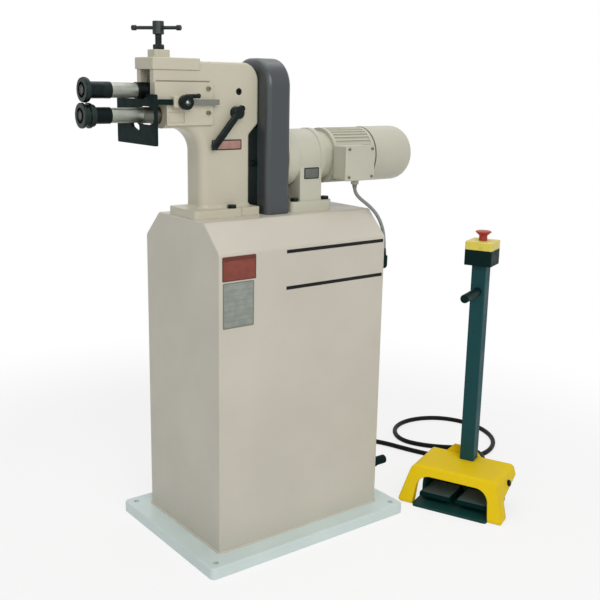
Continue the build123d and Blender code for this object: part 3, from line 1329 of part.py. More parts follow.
def clamp_lever():
    """Hub with a threaded stud and a hand lever."""
    spot = (CLAMP_X, FENCE_BAR_Z)
    near = GUIDE_FRONT_Y - AIR_GAP
    far = near - CLAMP_LENGTH
    hub = rod("Y", CLAMP_RADIUS, far, near, spot)
    hub = fillet(hub.edges().filter_by(GeomType.CIRCLE).sort_by(Axis.Y)[0], CLAMP_ROUND)
    hub += rod("Y", CLAMP_STUD_RADIUS, near, BAR_FRONT_Y - SLIDE_FIT, spot)
    floor = far + CLAMP_RECESS_DEPTH
    hub -= rod("Y", CLAMP_RECESS_RADIUS, far, floor, spot)
    hub += rod("Y", CLAMP_STUD_RADIUS, far + AIR_GAP, floor, spot)
    lever = Cone(CLAMP_LEVER_RADIUS * 1.2, CLAMP_LEVER_RADIUS, CLAMP_LEVER_LENGTH)
    lever = Pos(CLAMP_LEVER_LENGTH / 2, 0, CLAMP_LEVER_RISE) * Rot(0, 90, 0) * lever
    lever += Pos(CLAMP_LEVER_LENGTH, 0, CLAMP_LEVER_RISE) * Sphere(CLAMP_LEVER_RADIUS * 1.25)
    middle = (near + far) / 2
    return hub + Pos(CLAMP_X, middle, FENCE_BAR_Z) * Rot(0, CLAMP_LEVER_TURN, 0) * lever


def side_lever():
    """Locking lever with a stem in the head and an arm that hangs forwards and down."""
    near = HEAD_FACE_Y - SLIDE_FIT
    far = near - LEVER_BOSS_LENGTH
    arm_near = far + LEVER_THICKNESS
    boss = rod("Y", LEVER_BOSS_RADIUS, far, near, (0, 0))
    boss = fillet(boss.edges().filter_by(GeomType.CIRCLE).sort_by(Axis.Y)[0], LEVER_ROUND)
    half = LEVER_WIDTH / 2
    end_round = LEVER_END_SHARE * LEVER_WIDTH
    arm = prism(
        [
            (-LEVER_LENGTH - half, -half, end_round),
            (LEVER_NUB, -half, end_round),
            (LEVER_NUB, half, end_round),
            (-LEVER_LENGTH - half, half, end_round),
        ],
        "Y",
        far,
        arm_near,
    )
    lever = boss + fillet(arm.faces().sort_by(Axis.Y)[0].edges(), LEVER_EDGE)
    stem = HEAD_FACE_Y + LEVER_STEM_DEPTH - SLIDE_FIT
    lever += rod("Y", LEVER_STEM_RADIUS, near, stem, (0, 0))
    return Pos(LEVER_X, 0, LEVER_Z) * Rot(0, -LEVER_ANGLE, 0) * lever


def guard_profile(half_width, top, radius):
    return [
        (-half_width, TOP_Z, 0),
        (-half_width, top, radius),
        (half_width, top, radius),
        (half_width, TOP_Z, 0),
    ]


def guard_form(inset):
    """Round-topped box of the guard, set in from its outside, with both rims rounded."""
    half = GUARD_WIDTH / 2 - inset
    profile = guard_profile(half, TOP_Z + GUARD_HEIGHT - inset, GUARD_TOP_RADIUS - inset)
    form = prism(profile, "X", HEAD_REAR_X + inset, GUARD_REAR_X - inset)
    rims = form.faces().filter_by(Axis.X).edges().filter_by(lambda e: e.center().Z > TOP_Z + NEAR)
    return fillet(rims, GUARD_EDGE - inset)


def chain_guard():
    guard = guard_form(0) - guard_form(GUARD_SHEET)
    gap = GUARD_OPENING_WIDTH / 2
    mouth = guard_profile(gap, TOP_Z + GUARD_OPENING_HEIGHT, gap * 0.9)
    guard -= prism(mouth, "X", HEAD_REAR_X, HEAD_REAR_X + GUARD_SHEET)
    hole = (GUARD_REAR_X - GUARD_SHEET, GUARD_REAR_X)
    return guard - rod("X", GUARD_SHAFT_HOLE_RADIUS, *hole, (0, MOTOR_Z))


def guard_back_plate():
    """Sheet that closes the lower part of the guard's open side, held by one bolt."""
    near = HEAD_REAR_X + GUARD_SHEET
    half = BACK_PLATE_WIDTH / 2
    low = TOP_Z + BACK_PLATE_GAP
    plate = block((near, near + GUARD_SHEET), (-half, half), (low, low + BACK_PLATE_HEIGHT))
    bolt = hex_bolt(BACK_BOLT_ACROSS / 4, BACK_BOLT_ACROSS, BACK_BOLT_HEAD, GUARD_SHEET)
    return plate + Pos(near, BACK_BOLT_Y, TOP_Z + BACK_BOLT_HEIGHT) * Rot(0, -90, 0) * bolt


def gearbox_housing():
    start = GUARD_REAR_X
    body = rod("X", GEARBOX_FLANGE_RADIUS, start, start + GEARBOX_FLANGE_LENGTH, (0, MOTOR_Z))
    body = fillet(body.edges().filter_by(GeomType.CIRCLE), GEARBOX_EDGE)
    body += rod("X", GEARBOX_BARREL_RADIUS, start + GEARBOX_WALL / 2, GEARBOX_REAR_X, (0, MOTOR_Z))
    rear = rod("X", GEARBOX_REAR_RADIUS, GEARBOX_REAR_X - GEARBOX_REAR_LENGTH, GEARBOX_REAR_X, (0, MOTOR_Z))
    body += fillet(rear.edges().filter_by(GeomType.CIRCLE), GEARBOX_EDGE / 4)
    foot_x = start + GEARBOX_FOOT_START
    half = GEARBOX_FOOT_WIDTH / 2
    foot = block((foot_x, foot_x + GEARBOX_FOOT_LENGTH), (-half, half), (TOP_Z, TOP_Z + GEARBOX_FOOT_HEIGHT))
    body += fillet(foot.edges().filter_by(Axis.Z), GEARBOX_FOOT_ROUND)
    web_x = start + GEARBOX_WEB_START
    web = GEARBOX_WEB_WIDTH / 2
    web = block((web_x, web_x + GEARBOX_WEB_LENGTH), (-web, web), (TOP_Z, MOTOR_Z))
    body += fillet(web.edges().filter_by(Axis.Z), GEARBOX_EDGE)
    cavity = (start + GEARBOX_FLANGE_LENGTH + GEARBOX_WALL, GEARBOX_REAR_X - GEARBOX_WALL)
    body -= rod("X", GEARBOX_CAVITY_RADIUS, *cavity, (0, MOTOR_Z))
    body -= rod("X", OUTPUT_RADIUS + RUN_FIT, start, cavity[0], (0, MOTOR_Z))
    body -= rod("X", ROTOR_SHAFT_RADIUS + AIR_GAP, cavity[1], GEARBOX_REAR_X, (0, MOTOR_Z))
    for spot in gearbox_bolt_spots():
        body -= rod("Z", BOLT_RADIUS + HOLE_FIT, TOP_Z, TOP_Z + GEARBOX_FOOT_HEIGHT, spot)
        face = TOP_Z + GEARBOX_FOOT_HEIGHT
        body -= rod("Z", BOLT_ACROSS * SPOT_FACE, face, face + 2 * BOLT_HEAD, spot)
    return body


def gearbox_shaft():
    end = GUARD_REAR_X + GEARBOX_FLANGE_LENGTH + GEARBOX_WALL
    shaft = rod("X", OUTPUT_RADIUS, SPROCKET_FRONT_X, end, (0, MOTOR_Z))
    collar = OUTPUT_RADIUS + OUTPUT_COLLAR
    shaft += rod("X", collar, end + SLIDE_FIT, end + OUTPUT_COLLAR_LENGTH, (0, MOTOR_Z))
    shaft += rod("X", OUTPUT_RADIUS, end, end + SLIDE_FIT, (0, MOTOR_Z))
    return shaft + rod("X", collar, SPROCKET_REAR_X, GUARD_REAR_X - SLIDE_FIT, (0, MOTOR_Z))


def motor_housing():
    """Finned motor body on a neck, with end shields, a terminal box pad and a spigot for the cowl."""
    start = GEARBOX_REAR_X
    front = start + MOTOR_NECK_LENGTH
    body = rod("X", MOTOR_NECK_RADIUS, start, front, (0, MOTOR_Z))
    body += rod("X", MOTOR_CORE_RADIUS, front, MOTOR_REAR_X, (0, MOTOR_Z))
    fin = block(
        (front + MOTOR_SHIELD / 2, MOTOR_REAR_X - MOTOR_SHIELD / 2),
        (-FIN_THICKNESS / 2, FIN_THICKNESS / 2),
        (MOTOR_CORE_RADIUS - FIN_ROOT, MOTOR_RADIUS),
    )
    for k in range(FIN_COUNT):
        body += Pos(0, 0, MOTOR_Z) * Rot(360 * k / FIN_COUNT, 0, 0) * fin
    body += rod("X", MOTOR_RADIUS, front, front + MOTOR_SHIELD, (0, MOTOR_Z))
    body += rod("X", MOTOR_RADIUS, MOTOR_REAR_X - MOTOR_SHIELD, MOTOR_REAR_X, (0, MOTOR_Z))
    body += rod("X", MOTOR_SPIGOT_RADIUS, MOTOR_REAR_X, SPIGOT_REAR_X, (0, MOTOR_Z))
    inset = TERMINAL_PAD_INSET
    length = (TERMINAL_X + inset, TERMINAL_X + TERMINAL_LENGTH - inset)
    height = (TERMINAL_LOW_Z + inset, TERMINAL_LOW_Z + TERMINAL_HEIGHT - inset)
    room = (TERMINAL_X - inset, TERMINAL_X + TERMINAL_LENGTH + inset)
    clear = (TERMINAL_LOW_Z - inset, TERMINAL_LOW_Z + TERMINAL_HEIGHT + inset)
    body -= block(room, (TERMINAL_FRONT_Y, -MOTOR_CORE_RADIUS), clear)
    body += block(length, (-TERMINAL_PAD_Y, 0), height)
    body -= rod("X", MOTOR_BORE_RADIUS, start + MOTOR_SHIELD, MOTOR_REAR_X - MOTOR_SHIELD, (0, MOTOR_Z))
    return body - rod("X", ROTOR_SHAFT_RADIUS + RUN_FIT, start, SPIGOT_REAR_X, (0, MOTOR_Z))


def motor_rotor():
    """Rotor with its shaft, and the fan pressed on behind."""
    front = GEARBOX_REAR_X - ROTOR_SHAFT_FRONT
    shaft = rod("X", ROTOR_SHAFT_RADIUS, front, FAN_FRONT_X + FAN_LENGTH, (0, MOTOR_Z))
    core = (GEARBOX_REAR_X + ROTOR_MARGIN, MOTOR_REAR_X - ROTOR_MARGIN)
    return gather([shaft + rod("X", ROTOR_RADIUS, *core, (0, MOTOR_Z)), cooling_fan()])


def cooling_fan():
    """Hub with straight radial blades."""
    ends = (FAN_FRONT_X, FAN_FRONT_X + FAN_LENGTH)
    fan = rod("X", FAN_HUB_RADIUS, *ends, (0, 0))
    blade = block(ends, (-FAN_BLADE / 2, FAN_BLADE / 2), (FAN_HUB_RADIUS - FAN_BLADE, FAN_RADIUS))
    for k in range(FAN_BLADES):
        fan += Rot(360 * k / FAN_BLADES, 0, 0) * blade
    return Pos(0, 0, MOTOR_Z) * (fan - rod("X", ROTOR_SHAFT_RADIUS + SEAT_FIT, *ends, (0, 0)))


def fan_cowl():
    """Domed cowl with slots in its end, seated by a rib on the motor's spigot."""
    inner = COWL_RADIUS - COWL_SHEET
    hollow = COWL_END_RADIUS - COWL_SHEET
    cowl = lathe(
        [
            (COWL_FRONT_X, 0, 0),
            (COWL_FRONT_X, COWL_RADIUS, 0),
            (COWL_REAR_X, COWL_RADIUS, COWL_END_RADIUS),
            (COWL_REAR_X, 0, 0),
        ],
        0,
    )
    cowl -= lathe(
        [
            (COWL_FRONT_X, 0, 0),
            (COWL_FRONT_X, inner, 0),
            (COWL_REAR_X - COWL_SHEET, inner, hollow),
            (COWL_REAR_X - COWL_SHEET, 0, 0),
        ],
        0,
    )
    cowl += pipe("X", inner + COWL_SHEET / 2, inner - 2 * COWL_RIB, SPIGOT_REAR_X, SPIGOT_REAR_X + COWL_RIB, (0, 0))
    slot = block(
        (COWL_REAR_X - COWL_END_RADIUS, COWL_REAR_X),
        (-COWL_SLOT_WIDTH / 2, COWL_SLOT_WIDTH / 2),
        (COWL_SLOT_INNER, COWL_SLOT_INNER + COWL_SLOT_LENGTH),
    )
    for k in range(COWL_SLOTS):
        cowl -= Rot(360 * k / COWL_SLOTS, 0, 0) * slot
    return Pos(0, 0, MOTOR_Z) * cowl


def terminal_screw_spots():
    spacing_x = TERMINAL_LENGTH - 2 * TERMINAL_SCREW_INSET
    spacing_z = TERMINAL_HEIGHT - 2 * TERMINAL_SCREW_INSET
    middle = (TERMINAL_X + TERMINAL_LENGTH / 2, TERMINAL_LOW_Z + TERMINAL_HEIGHT / 2)
    return corners(spacing_x, spacing_z, *middle)


def terminal_box():
    length = (TERMINAL_X, TERMINAL_X + TERMINAL_LENGTH)
    height = (TERMINAL_LOW_Z, TERMINAL_LOW_Z + TERMINAL_HEIGHT)
    wall = TERMINAL_WALL
    box = block(length, (TERMINAL_FRONT_Y, -TERMINAL_PAD_Y), height)
    box = fillet(box.edges().filter_by(Axis.Y), TERMINAL_WALL)
    hollow = block(
        (length[0] + wall, length[1] - wall),
        (TERMINAL_FRONT_Y, -TERMINAL_PAD_Y - wall),
        (height[0] + wall, height[1] - wall),
    )
    for spot in terminal_screw_spots():
        hollow -= rod("Y", TERMINAL_POST_RADIUS, TERMINAL_FRONT_Y, -TERMINAL_PAD_Y, spot)
    box -= hollow
    for spot in terminal_screw_spots():
        bore = TERMINAL_SCREW_RADIUS + SEAT_FIT
        box -= rod("Y", bore, TERMINAL_FRONT_Y, TERMINAL_FRONT_Y + TERMINAL_SCREW_DEPTH, spot)
    thread = GLAND_THREAD_RADIUS + SEAT_FIT
    return box - rod("Z", thread, height[0], height[0] + wall, (MOTOR_GLAND_X, MOTOR_GLAND_Y))


def terminal_lid():
    lip = TERMINAL_LID_LIP
    lid = block(
        (TERMINAL_X - lip, TERMINAL_X + TERMINAL_LENGTH + lip),
        (TERMINAL_FRONT_Y - TERMINAL_LID, TERMINAL_FRONT_Y),
        (TERMINAL_LOW_Z - lip, TERMINAL_LOW_Z + TERMINAL_HEIGHT + lip),
    )
    lid = fillet(lid.edges().filter_by(Axis.Y), TERMINAL_WALL + lip)
    lid = fillet(lid.faces().sort_by(Axis.Y)[0].edges(), TERMINAL_LID / 3)
    for spot in terminal_screw_spots():
        lid -= rod("Y", TERMINAL_SCREW_RADIUS + HOLE_FIT, TERMINAL_FRONT_Y - TERMINAL_LID, TERMINAL_FRONT_Y, spot)
    return lid


def motor_gland():
    spot = (MOTOR_GLAND_X, MOTOR_GLAND_Y)
    gland = rod("Z", GLAND_RADIUS, MOTOR_GLAND_LOW_Z, TERMINAL_LOW_Z, spot)
    gland = fillet(gland.edges().sort_by(Axis.Z)[0], GLAND_ROUND)
    return gland + rod("Z", GLAND_THREAD_RADIUS, TERMINAL_LOW_Z, TERMINAL_LOW_Z + GLAND_THREAD_LENGTH, spot)


def pedal_base():
    """Floor plate with side cheeks, a back wall, a middle lug for the treadle pin and hood lugs."""
    half = PEDAL_BASE_WIDTH / 2
    depth = PEDAL_BASE_FRONT + PEDAL_BASE_BACK
    middle = (PEDAL_BASE_BACK - PEDAL_BASE_FRONT) / 2
    footprint = Pos(0, middle, 0) * RectangleRounded(PEDAL_BASE_WIDTH, depth, PEDAL_BASE_CORNER)
    inner = half - PEDAL_WALL
    top = PEDAL_BASE_THICKNESS + PEDAL_WALL_HEIGHT
    back_wall = (PEDAL_BASE_BACK - PEDAL_WALL, PEDAL_BASE_BACK)
    cheek = [
        (-PEDAL_CHEEK_FRONT, 0, 0),
        (-PEDAL_CHEEK_FRONT, top, 3 * PEDAL_WALL),
        (PEDAL_BASE_BACK, top, 0),
        (PEDAL_BASE_BACK, 0, 0),
    ]
    walls = block((-half, half), back_wall, (0, top))
    for ends in ((-half, -inner), (inner, half)):
        walls += prism(cheek, "X", *ends)
    base = extrude(footprint, PEDAL_BASE_THICKNESS)
    base += walls & extrude(footprint, top)
    reach = TREADLE_LUG_LENGTH / 2
    base += block(
        (-TREADLE_LUG / 2, TREADLE_LUG / 2),
        (TREADLE_PIN_Y - reach, TREADLE_PIN_Y + reach),
        (0, TREADLE_PIN_HEIGHT + TREADLE_BARREL_RADIUS),
    )
    ends = (HOOD_BOLT_Y - HOOD_LUG_LENGTH / 2, HOOD_BOLT_Y + HOOD_LUG_LENGTH / 2)
    low = hood_side(HOOD_WALL, HOOD_LUG_LOW)
    high = hood_side(HOOD_WALL, HOOD_LUG_HIGH)
    for side in (-1, 1):
        lug = [
            (side * inner, top - 2 * HOOD_LUG, 0),
            (side * half, top - 2 * HOOD_LUG, 0),
            (side * low, HOOD_LUG_LOW, 0),
            (side * high, HOOD_LUG_HIGH, 0),
            (side * inner, HOOD_LUG_HIGH, 0),
        ]
        base += prism(lug, "Y", *ends)
    base -= rod("X", TREADLE_PIN_RADIUS + SEAT_FIT, -half, half, (TREADLE_PIN_Y, TREADLE_PIN_HEIGHT))
    thread = GLAND_THREAD_RADIUS + SEAT_FIT
    base -= rod("Y", thread, *back_wall, (PEDAL_GLAND_X, PEDAL_GLAND_Z))
    base = PEDAL_PLACE * base
    for place in hood_screw_places():
        base -= place * rod("Z", HOOD_BOLT_RADIUS + SEAT_FIT, -HOOD_WALL - HOOD_LUG, 0, (0, 0))
    return base


def treadle(side):
    """Pressed plate with a barrel on the pin, a rising tread and a front lip."""
    inner = TREADLE_GAP / 2
    ends = sorted((side * inner, side * (inner + TREADLE_WIDTH)))
    pin_y = TREADLE_PIN_Y
    pin_z = TREADLE_PIN_HEIGHT
    under = pin_z
    front = under + TREADLE_RISE
    thick = TREADLE_THICKNESS
    points = [
        (pin_y, under, 0),
        (pin_y, under + thick, 0),
        (-TREADLE_FRONT, front + thick, TREADLE_ROUND),
        (-TREADLE_FRONT, front + thick - TREADLE_LIP, 0),
        (-TREADLE_FRONT + thick / 2, front + thick - TREADLE_LIP, 0),
        (-TREADLE_FRONT + thick / 2, front - thick / 8, 0),
    ]
    plate = prism(points, "X", *ends)
    plate += rod("X", TREADLE_BARREL_RADIUS, *ends, (pin_y, pin_z))
    plate -= rod("X", TREADLE_PIN_RADIUS + RUN_FIT, *ends, (pin_y, pin_z))
    return PEDAL_PLACE * plate


def left_treadle():
    return treadle(-1)


def right_treadle():
    return treadle(1)


def treadle_pin():
    half = PEDAL_BASE_WIDTH / 2
    return PEDAL_PLACE * rod("X", TREADLE_PIN_RADIUS, -half, half, (TREADLE_PIN_Y, TREADLE_PIN_HEIGHT))


def pedal_switches():
    """One switch block under each treadle."""
    pieces = []
    for side in (-1, 1):
        x = side * (TREADLE_GAP + TREADLE_WIDTH) / 2
        low = PEDAL_BASE_THICKNESS
        body = block(
            (x - SWITCH_WIDTH / 2, x + SWITCH_WIDTH / 2),
            (SWITCH_Y - SWITCH_LENGTH / 2, SWITCH_Y + SWITCH_LENGTH / 2),
            (low, low + SWITCH_HEIGHT),
        )
        pieces.append(PEDAL_PLACE * body)
    return gather(pieces)


def hood_side(inset, z):
    """Half-width at a height of the hood drawn in by inset."""
    spread = (HOOD_WIDTH - HOOD_TOP_WIDTH) / 2
    return HOOD_WIDTH / 2 - inset - spread * (z - HOOD_LIFT) / (HOOD_HEIGHT - inset)


def hood_screw_places():
    """Where a screw stands square on each side wall of the hood."""
    lean = degrees(atan((HOOD_WIDTH - HOOD_TOP_WIDTH) / 2 / HOOD_HEIGHT))
    x = hood_side(0, HOOD_BOLT_HEIGHT)
    return [
        PEDAL_PLACE * Pos(side * x, HOOD_BOLT_Y, HOOD_BOLT_HEIGHT) * Rot(0, side * (90 - lean), 0)
        for side in (-1, 1)
    ]


def hood_screws():
    """Button-headed screws through the hood's sides into the lugs of the base."""
    head = rod("Z", HOOD_BOLT_HEAD_RADIUS, 0, HOOD_BOLT_HEAD, (0, 0))
    head = fillet(head.edges().sort_by(Axis.Z)[-1], HOOD_BOLT_HEAD / 2)
    socket = extrude(RegularPolygon(HOOD_BOLT_RADIUS * 0.8, 6), HOOD_BOLT_HEAD)
    screw = head - Pos(0, 0, HOOD_BOLT_HEAD / 2) * socket
    screw += rod("Z", HOOD_BOLT_RADIUS, AIR_GAP - HOOD_WALL - HOOD_LUG, 0, (0, 0))
    return [place * screw for place in hood_screw_places()]


def hood_front(half, top_half, low, top, rounding, foot=0.0):
    """Front outline narrowing to the top, with the rounding of its top and its foot corners."""
    return [(-half, low, foot), (-top_half, top, rounding), (top_half, top, rounding), (half, low, foot)]


def pedal_hood():
    """Cast hood on two front legs, with a post hole in its roof and a rib behind the post."""
    half = HOOD_WIDTH / 2
    top_half = HOOD_TOP_WIDTH / 2
    front = hood_front(half, top_half, HOOD_LIFT, HOOD_TOP_Z, HOOD_ROUND, HOOD_FOOT_ROUND)
    side = [
        (-HOOD_FRONT, HOOD_LIFT, HOOD_LEG_ROUND),
        (-HOOD_TOP_FRONT, HOOD_TOP_Z, HOOD_LEG_ROUND),
        (HOOD_BACK, HOOD_TOP_Z, HOOD_LEG_ROUND),
        (HOOD_BACK, HOOD_TOP_Z - HOOD_SKIRT, 0),
        (HOOD_LEG_TOP - HOOD_FRONT, HOOD_LEG_HEIGHT, 2 * HOOD_LEG_ROUND),
        (HOOD_LEG - HOOD_FRONT, HOOD_LIFT, HOOD_LEG_ROUND),
    ]
    hood = prism(front, "Y", -HOOD_FRONT, HOOD_BACK) & prism(side, "X", -half, half)
    inner = hood_front(
        half - HOOD_WALL, top_half - HOOD_WALL, HOOD_LIFT, HOOD_TOP_Z - HOOD_WALL, HOOD_ROUND - HOOD_WALL
    )
    hood -= prism(inner, "Y", HOOD_WALL - HOOD_TOP_FRONT, HOOD_BACK - HOOD_WALL)
    mouth = hood_front(
        HOOD_OPENING_WIDTH / 2,
        HOOD_OPENING_TOP_WIDTH / 2,
        HOOD_LIFT,
        HOOD_LIFT + HOOD_OPENING_HEIGHT,
        HOOD_OPENING_ROUND,
    )
    hood -= prism(mouth, "Y", -HOOD_FRONT, 0)
    rib = hood_front(
        HOOD_RIB_WIDTH / 2,
        HOOD_RIB_TOP_WIDTH / 2,
        HOOD_TOP_Z - HOOD_WALL,
        HOOD_TOP_Z + HOOD_RIB_HEIGHT,
        HOOD_RIB_ROUND,
    )
    reach = POST_WIDTH / 2 + SEAT_FIT
    hood += Pos(HOOD_RIB_X, 0, 0) * prism(rib, "Y", reach, HOOD_BACK - HOOD_WALL / 2)
    hood -= block((-reach, reach), (-reach, reach), (HOOD_TOP_Z - HOOD_WALL, HOOD_TOP_Z))
    hood = PEDAL_PLACE * hood
    for place in hood_screw_places():
        hood -= place * rod("Z", HOOD_BOLT_RADIUS + HOLE_FIT, -2 * HOOD_WALL, HOOD_WALL, (0, 0))
    return hood


def post_tube():
    """Square tube through the hood's roof, with a welded flange under the roof."""
    half = POST_WIDTH / 2
    inner = half - POST_WALL
    flange = POST_FLANGE / 2
    under = HOOD_TOP_Z - HOOD_WALL
    tube = block((-half, half), (-half, half), (under, POST_TOP_Z))
    tube = fillet(tube.edges().filter_by(Axis.Z), POST_WALL)
    back = HOOD_BACK - HOOD_WALL - AIR_GAP
    tube += block((-flange, flange), (-flange, back), (under - POST_FLANGE_THICKNESS, under))
    tube -= block((-inner, inner), (-inner, inner), (under - POST_FLANGE_THICKNESS, POST_TOP_Z))
    return PEDAL_PLACE * tube


def post_grip():
    """Round grip that stands out of the post's front."""
    near = -POST_WIDTH / 2
    grip = rod("Y", GRIP_RADIUS, near - GRIP_LENGTH, near, (0, HOOD_TOP_Z + GRIP_HEIGHT))
    grip = fillet(grip.edges().filter_by(GeomType.CIRCLE).sort_by(Axis.Y)[0], GRIP_ROUND)
    return PEDAL_PLACE * grip


def stop_box():
    half = STOP_BOX_WIDTH / 2
    inner = half - STOP_BOX_WALL
    box = block((-half, half), (-half, half), (POST_TOP_Z, STOP_LID_Z))
    box = fillet(box.edges().filter_by(Axis.Z), STOP_BOX_ROUND)
    box -= block((-inner, inner), (-inner, inner), (POST_TOP_Z + STOP_BOX_WALL, STOP_LID_Z))
    return PEDAL_PLACE * box


def stop_lid():
    half = STOP_BOX_WIDTH / 2
    inner = half - STOP_BOX_WALL
    lid = block((-half, half), (-half, half), (STOP_LID_Z, STOP_TOP_Z))
    lid = fillet(lid.edges().filter_by(Axis.Z), STOP_BOX_ROUND)
    lid = fillet(lid.faces().sort_by(Axis.Z)[-1].edges(), STOP_BOX_ROUND / 2)
    lid -= block((-inner, inner), (-inner, inner), (STOP_LID_Z, STOP_TOP_Z - STOP_BOX_WALL))
    return PEDAL_PLACE * (lid - rod("Z", STOP_PLUNGER_RADIUS + SLIDE_FIT, STOP_LID_Z, STOP_TOP_Z, (0, 0)))


def stop_plunger():
    """Stem that is pushed in, with a spigot that the cap turns on."""
    stem = rod("Z", STOP_PLUNGER_RADIUS, STOP_TOP_Z - STOP_PLUNGER_DEPTH, STOP_CAP_Z, (0, 0))
    top = STOP_CAP_Z + STOP_CAP_BORE_DEPTH - STOP_SPIGOT_GAP
    return PEDAL_PLACE * (stem + rod("Z", STOP_CAP_BORE_RADIUS, STOP_CAP_Z, top, (0, 0)))


def stop_cap():
    """Mushroom cap, undercut below its rim."""
    low = STOP_CAP_Z + STOP_SPIGOT_GAP
    high = STOP_CAP_Z + STOP_CAP_HEIGHT
    cap = rod("Z", STOP_CAP_RADIUS, low, high, (0, 0))
    rims = cap.edges().filter_by(GeomType.CIRCLE).sort_by(Axis.Z)
    cap = fillet(rims[-1], STOP_CAP_HEIGHT / 3)
    cap = chamfer(cap.edges().filter_by(GeomType.CIRCLE).sort_by(Axis.Z)[0], STOP_CAP_HEIGHT / 3)
    bore = rod("Z", STOP_CAP_BORE_RADIUS + RUN_FIT, low, low + STOP_CAP_BORE_DEPTH, (0, 0))
    return PEDAL_PLACE * (cap - bore)


def pedal_gland():
    spot = (PEDAL_GLAND_X, PEDAL_GLAND_Z)
    wall = PEDAL_BASE_BACK
    gland = rod("Y", PEDAL_GLAND_RADIUS, wall, wall + PEDAL_GLAND_LENGTH, spot)
    gland = fillet(gland.edges().sort_by(Axis.Y)[-1], GLAND_ROUND)
    gland += rod("Y", GLAND_THREAD_RADIUS, wall - PEDAL_WALL, wall, spot)
    return PEDAL_PLACE * gland


def cord(points, radius):
    """Round cord along straight runs joined by arcs as large as the runs allow."""
    spots = [Vector(*p) for p in points]
    radii = []
    for before, here, after in zip(spots, spots[1:], spots[2:]):
        turn = radians((here - before).get_angle(after - here))
        shorter = min((here - before).length, (after - here).length)
        radii.append(0.45 * shorter / tan(turn / 2))
    path = FilletPolyline(*spots, radius=radii)
    print("cord radii", [round(r) for r in radii], "length", round(path.length, 1))
    section = Plane(origin=path @ 0, z_dir=path % 0) * Circle(radius)
    tube = sweep(section, path=path)
    print("cord volume over section times length", round(tube.volume / (pi * radius**2 * path.length), 4))
    return tube


def motor_cable():
    """Lead from the terminal box over the cabinet's shoulder to the elbow inlet."""
    points = [
        (MOTOR_GLAND_X, MOTOR_GLAND_Y, MOTOR_GLAND_LOW_Z),
        (MOTOR_GLAND_X, MOTOR_GLAND_Y, 874.0),
        (212.0, -96.0, 861.0),
        (222.5, -101.0, 849.0),
        (235.0, -107.5, 838.5),
        (247.0, -115.5, 826.5),
        (257.5, -125.0, 811.0),
        (264.5, -134.5, 791.0),
        (269.0, -142.0, 765.0),
        (INLET_X, INLET_Y, 735.0),
        (INLET_X, INLET_Y, INLET_TOP_Z),
    ]
    return cord(points, MOTOR_CABLE_RADIUS)


def pedal_cable():
    """Lead from the back of the cabinet over the floor, through one loop, to the back of the hood."""
    floor = PEDAL_CABLE_RADIUS + FLOOR_GAP
    mouth_y = PEDAL_BASE_BACK + PEDAL_GLAND_LENGTH
    end = (PEDAL_PLACE * Pos(PEDAL_GLAND_X, mouth_y, PEDAL_GLAND_Z)).position
    before = (PEDAL_PLACE * Pos(PEDAL_GLAND_X, mouth_y + PEDAL_CABLE_LEAD, PEDAL_GLAND_Z)).position
    points = [
        (PEDAL_OUTLET_X, PEDAL_OUTLET_Y, PEDAL_OUTLET_Z),
        (PEDAL_OUTLET_X, 246.0, PEDAL_OUTLET_Z),
        (190.0, 290.0, 52.0),
        (214.0, 325.0, 22.0),
        (260.0, 345.0, floor),
        (330.0, 345.0, floor),
        (420.0, 313.0, floor),
        (507.0, 257.0, floor),
        (578.0, 176.0, floor),
        (612.0, 64.0, floor),
        (652.0, -28.0, floor),
        (718.0, -90.0, floor),
        (802.0, -92.0, floor),
        (876.0, -54.0, floor),
        (924.0, 4.0, floor),
        (946.0, 76.0, floor),
        (936.0, 152.0, floor),
        (898.0, 214.0, floor),
        (838.0, 250.0, floor),
        (770.0, 258.0, floor),
        (708.0, 236.0, floor),
        (664.0, 190.0, floor),
        (648.0, 134.0, floor),
        (668.0, 80.0, floor),
        (706.0, 30.0, floor),
        (733.0, -22.0, 17.0),
        (743.0, -70.0, 27.5),
        (738.0, -114.0, 28.5),
        (714.0, -152.0, 26.0),
        (673.0, -178.0, 28.0),
        (before.X, before.Y, before.Z),
        (end.X, end.Y, end.Z),
    ]
    return cord(points, PEDAL_CABLE_RADIUS)


PIECES = [
    base_plate,
    cabinet_shell,
    cabinet_door,
    door_hinges,
    door_handle,
    control_panel,
    cable_glands,
    head_casting,
    hex_bolts,
    slide_cap,
    socket_screws,
    screw_nut,
    lock_ring,
    adjusting_screw,
    tommy_bar,
    thrust_pad,
    upper_bearing_block,
    upper_shaft,
    upper_spacers,
    upper_roll,
    upper_roll_nut,
    upper_gear,
    upper_rear_bearing,
    trunnion_pins,
    lower_shaft,
    lower_bushes,
    lower_spacers,
    lower_roll,
    lower_roll_nut,
    lower_gear,
    driven_sprocket,
    side_plate,
    fence,
    clamp_lever,
    side_lever,
    chain_guard,
    guard_back_plate,
    drive_chain,
    drive_sprocket,
    gearbox_housing,
    gearbox_shaft,
    motor_housing,
    motor_rotor,
    fan_cowl,
    terminal_box,
    terminal_lid,
    motor_cable,
    pedal_base,
    pedal_hood,
    left_treadle,
    right_treadle,
    treadle_pin,
    pedal_switches,
    post_tube,
    post_grip,
    stop_box,
    stop_lid,
    stop_plunger,
    stop_cap,
    pedal_cable,
]

os.makedirs("parts", exist_ok=True)
for piece in PIECES:
    export_step(piece(), f"parts/{piece.__name__}.step")
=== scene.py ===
"""Finishes, leads and trim of a motor-driven bead roller on its cabinet, with its pedal station."""

import json
from math import atan2, cos, pi, radians, sin, tau

import bmesh
import bpy
import numpy as np
from bpy.props import FloatProperty, FloatVectorProperty, PointerProperty
from mathutils import Matrix, Vector


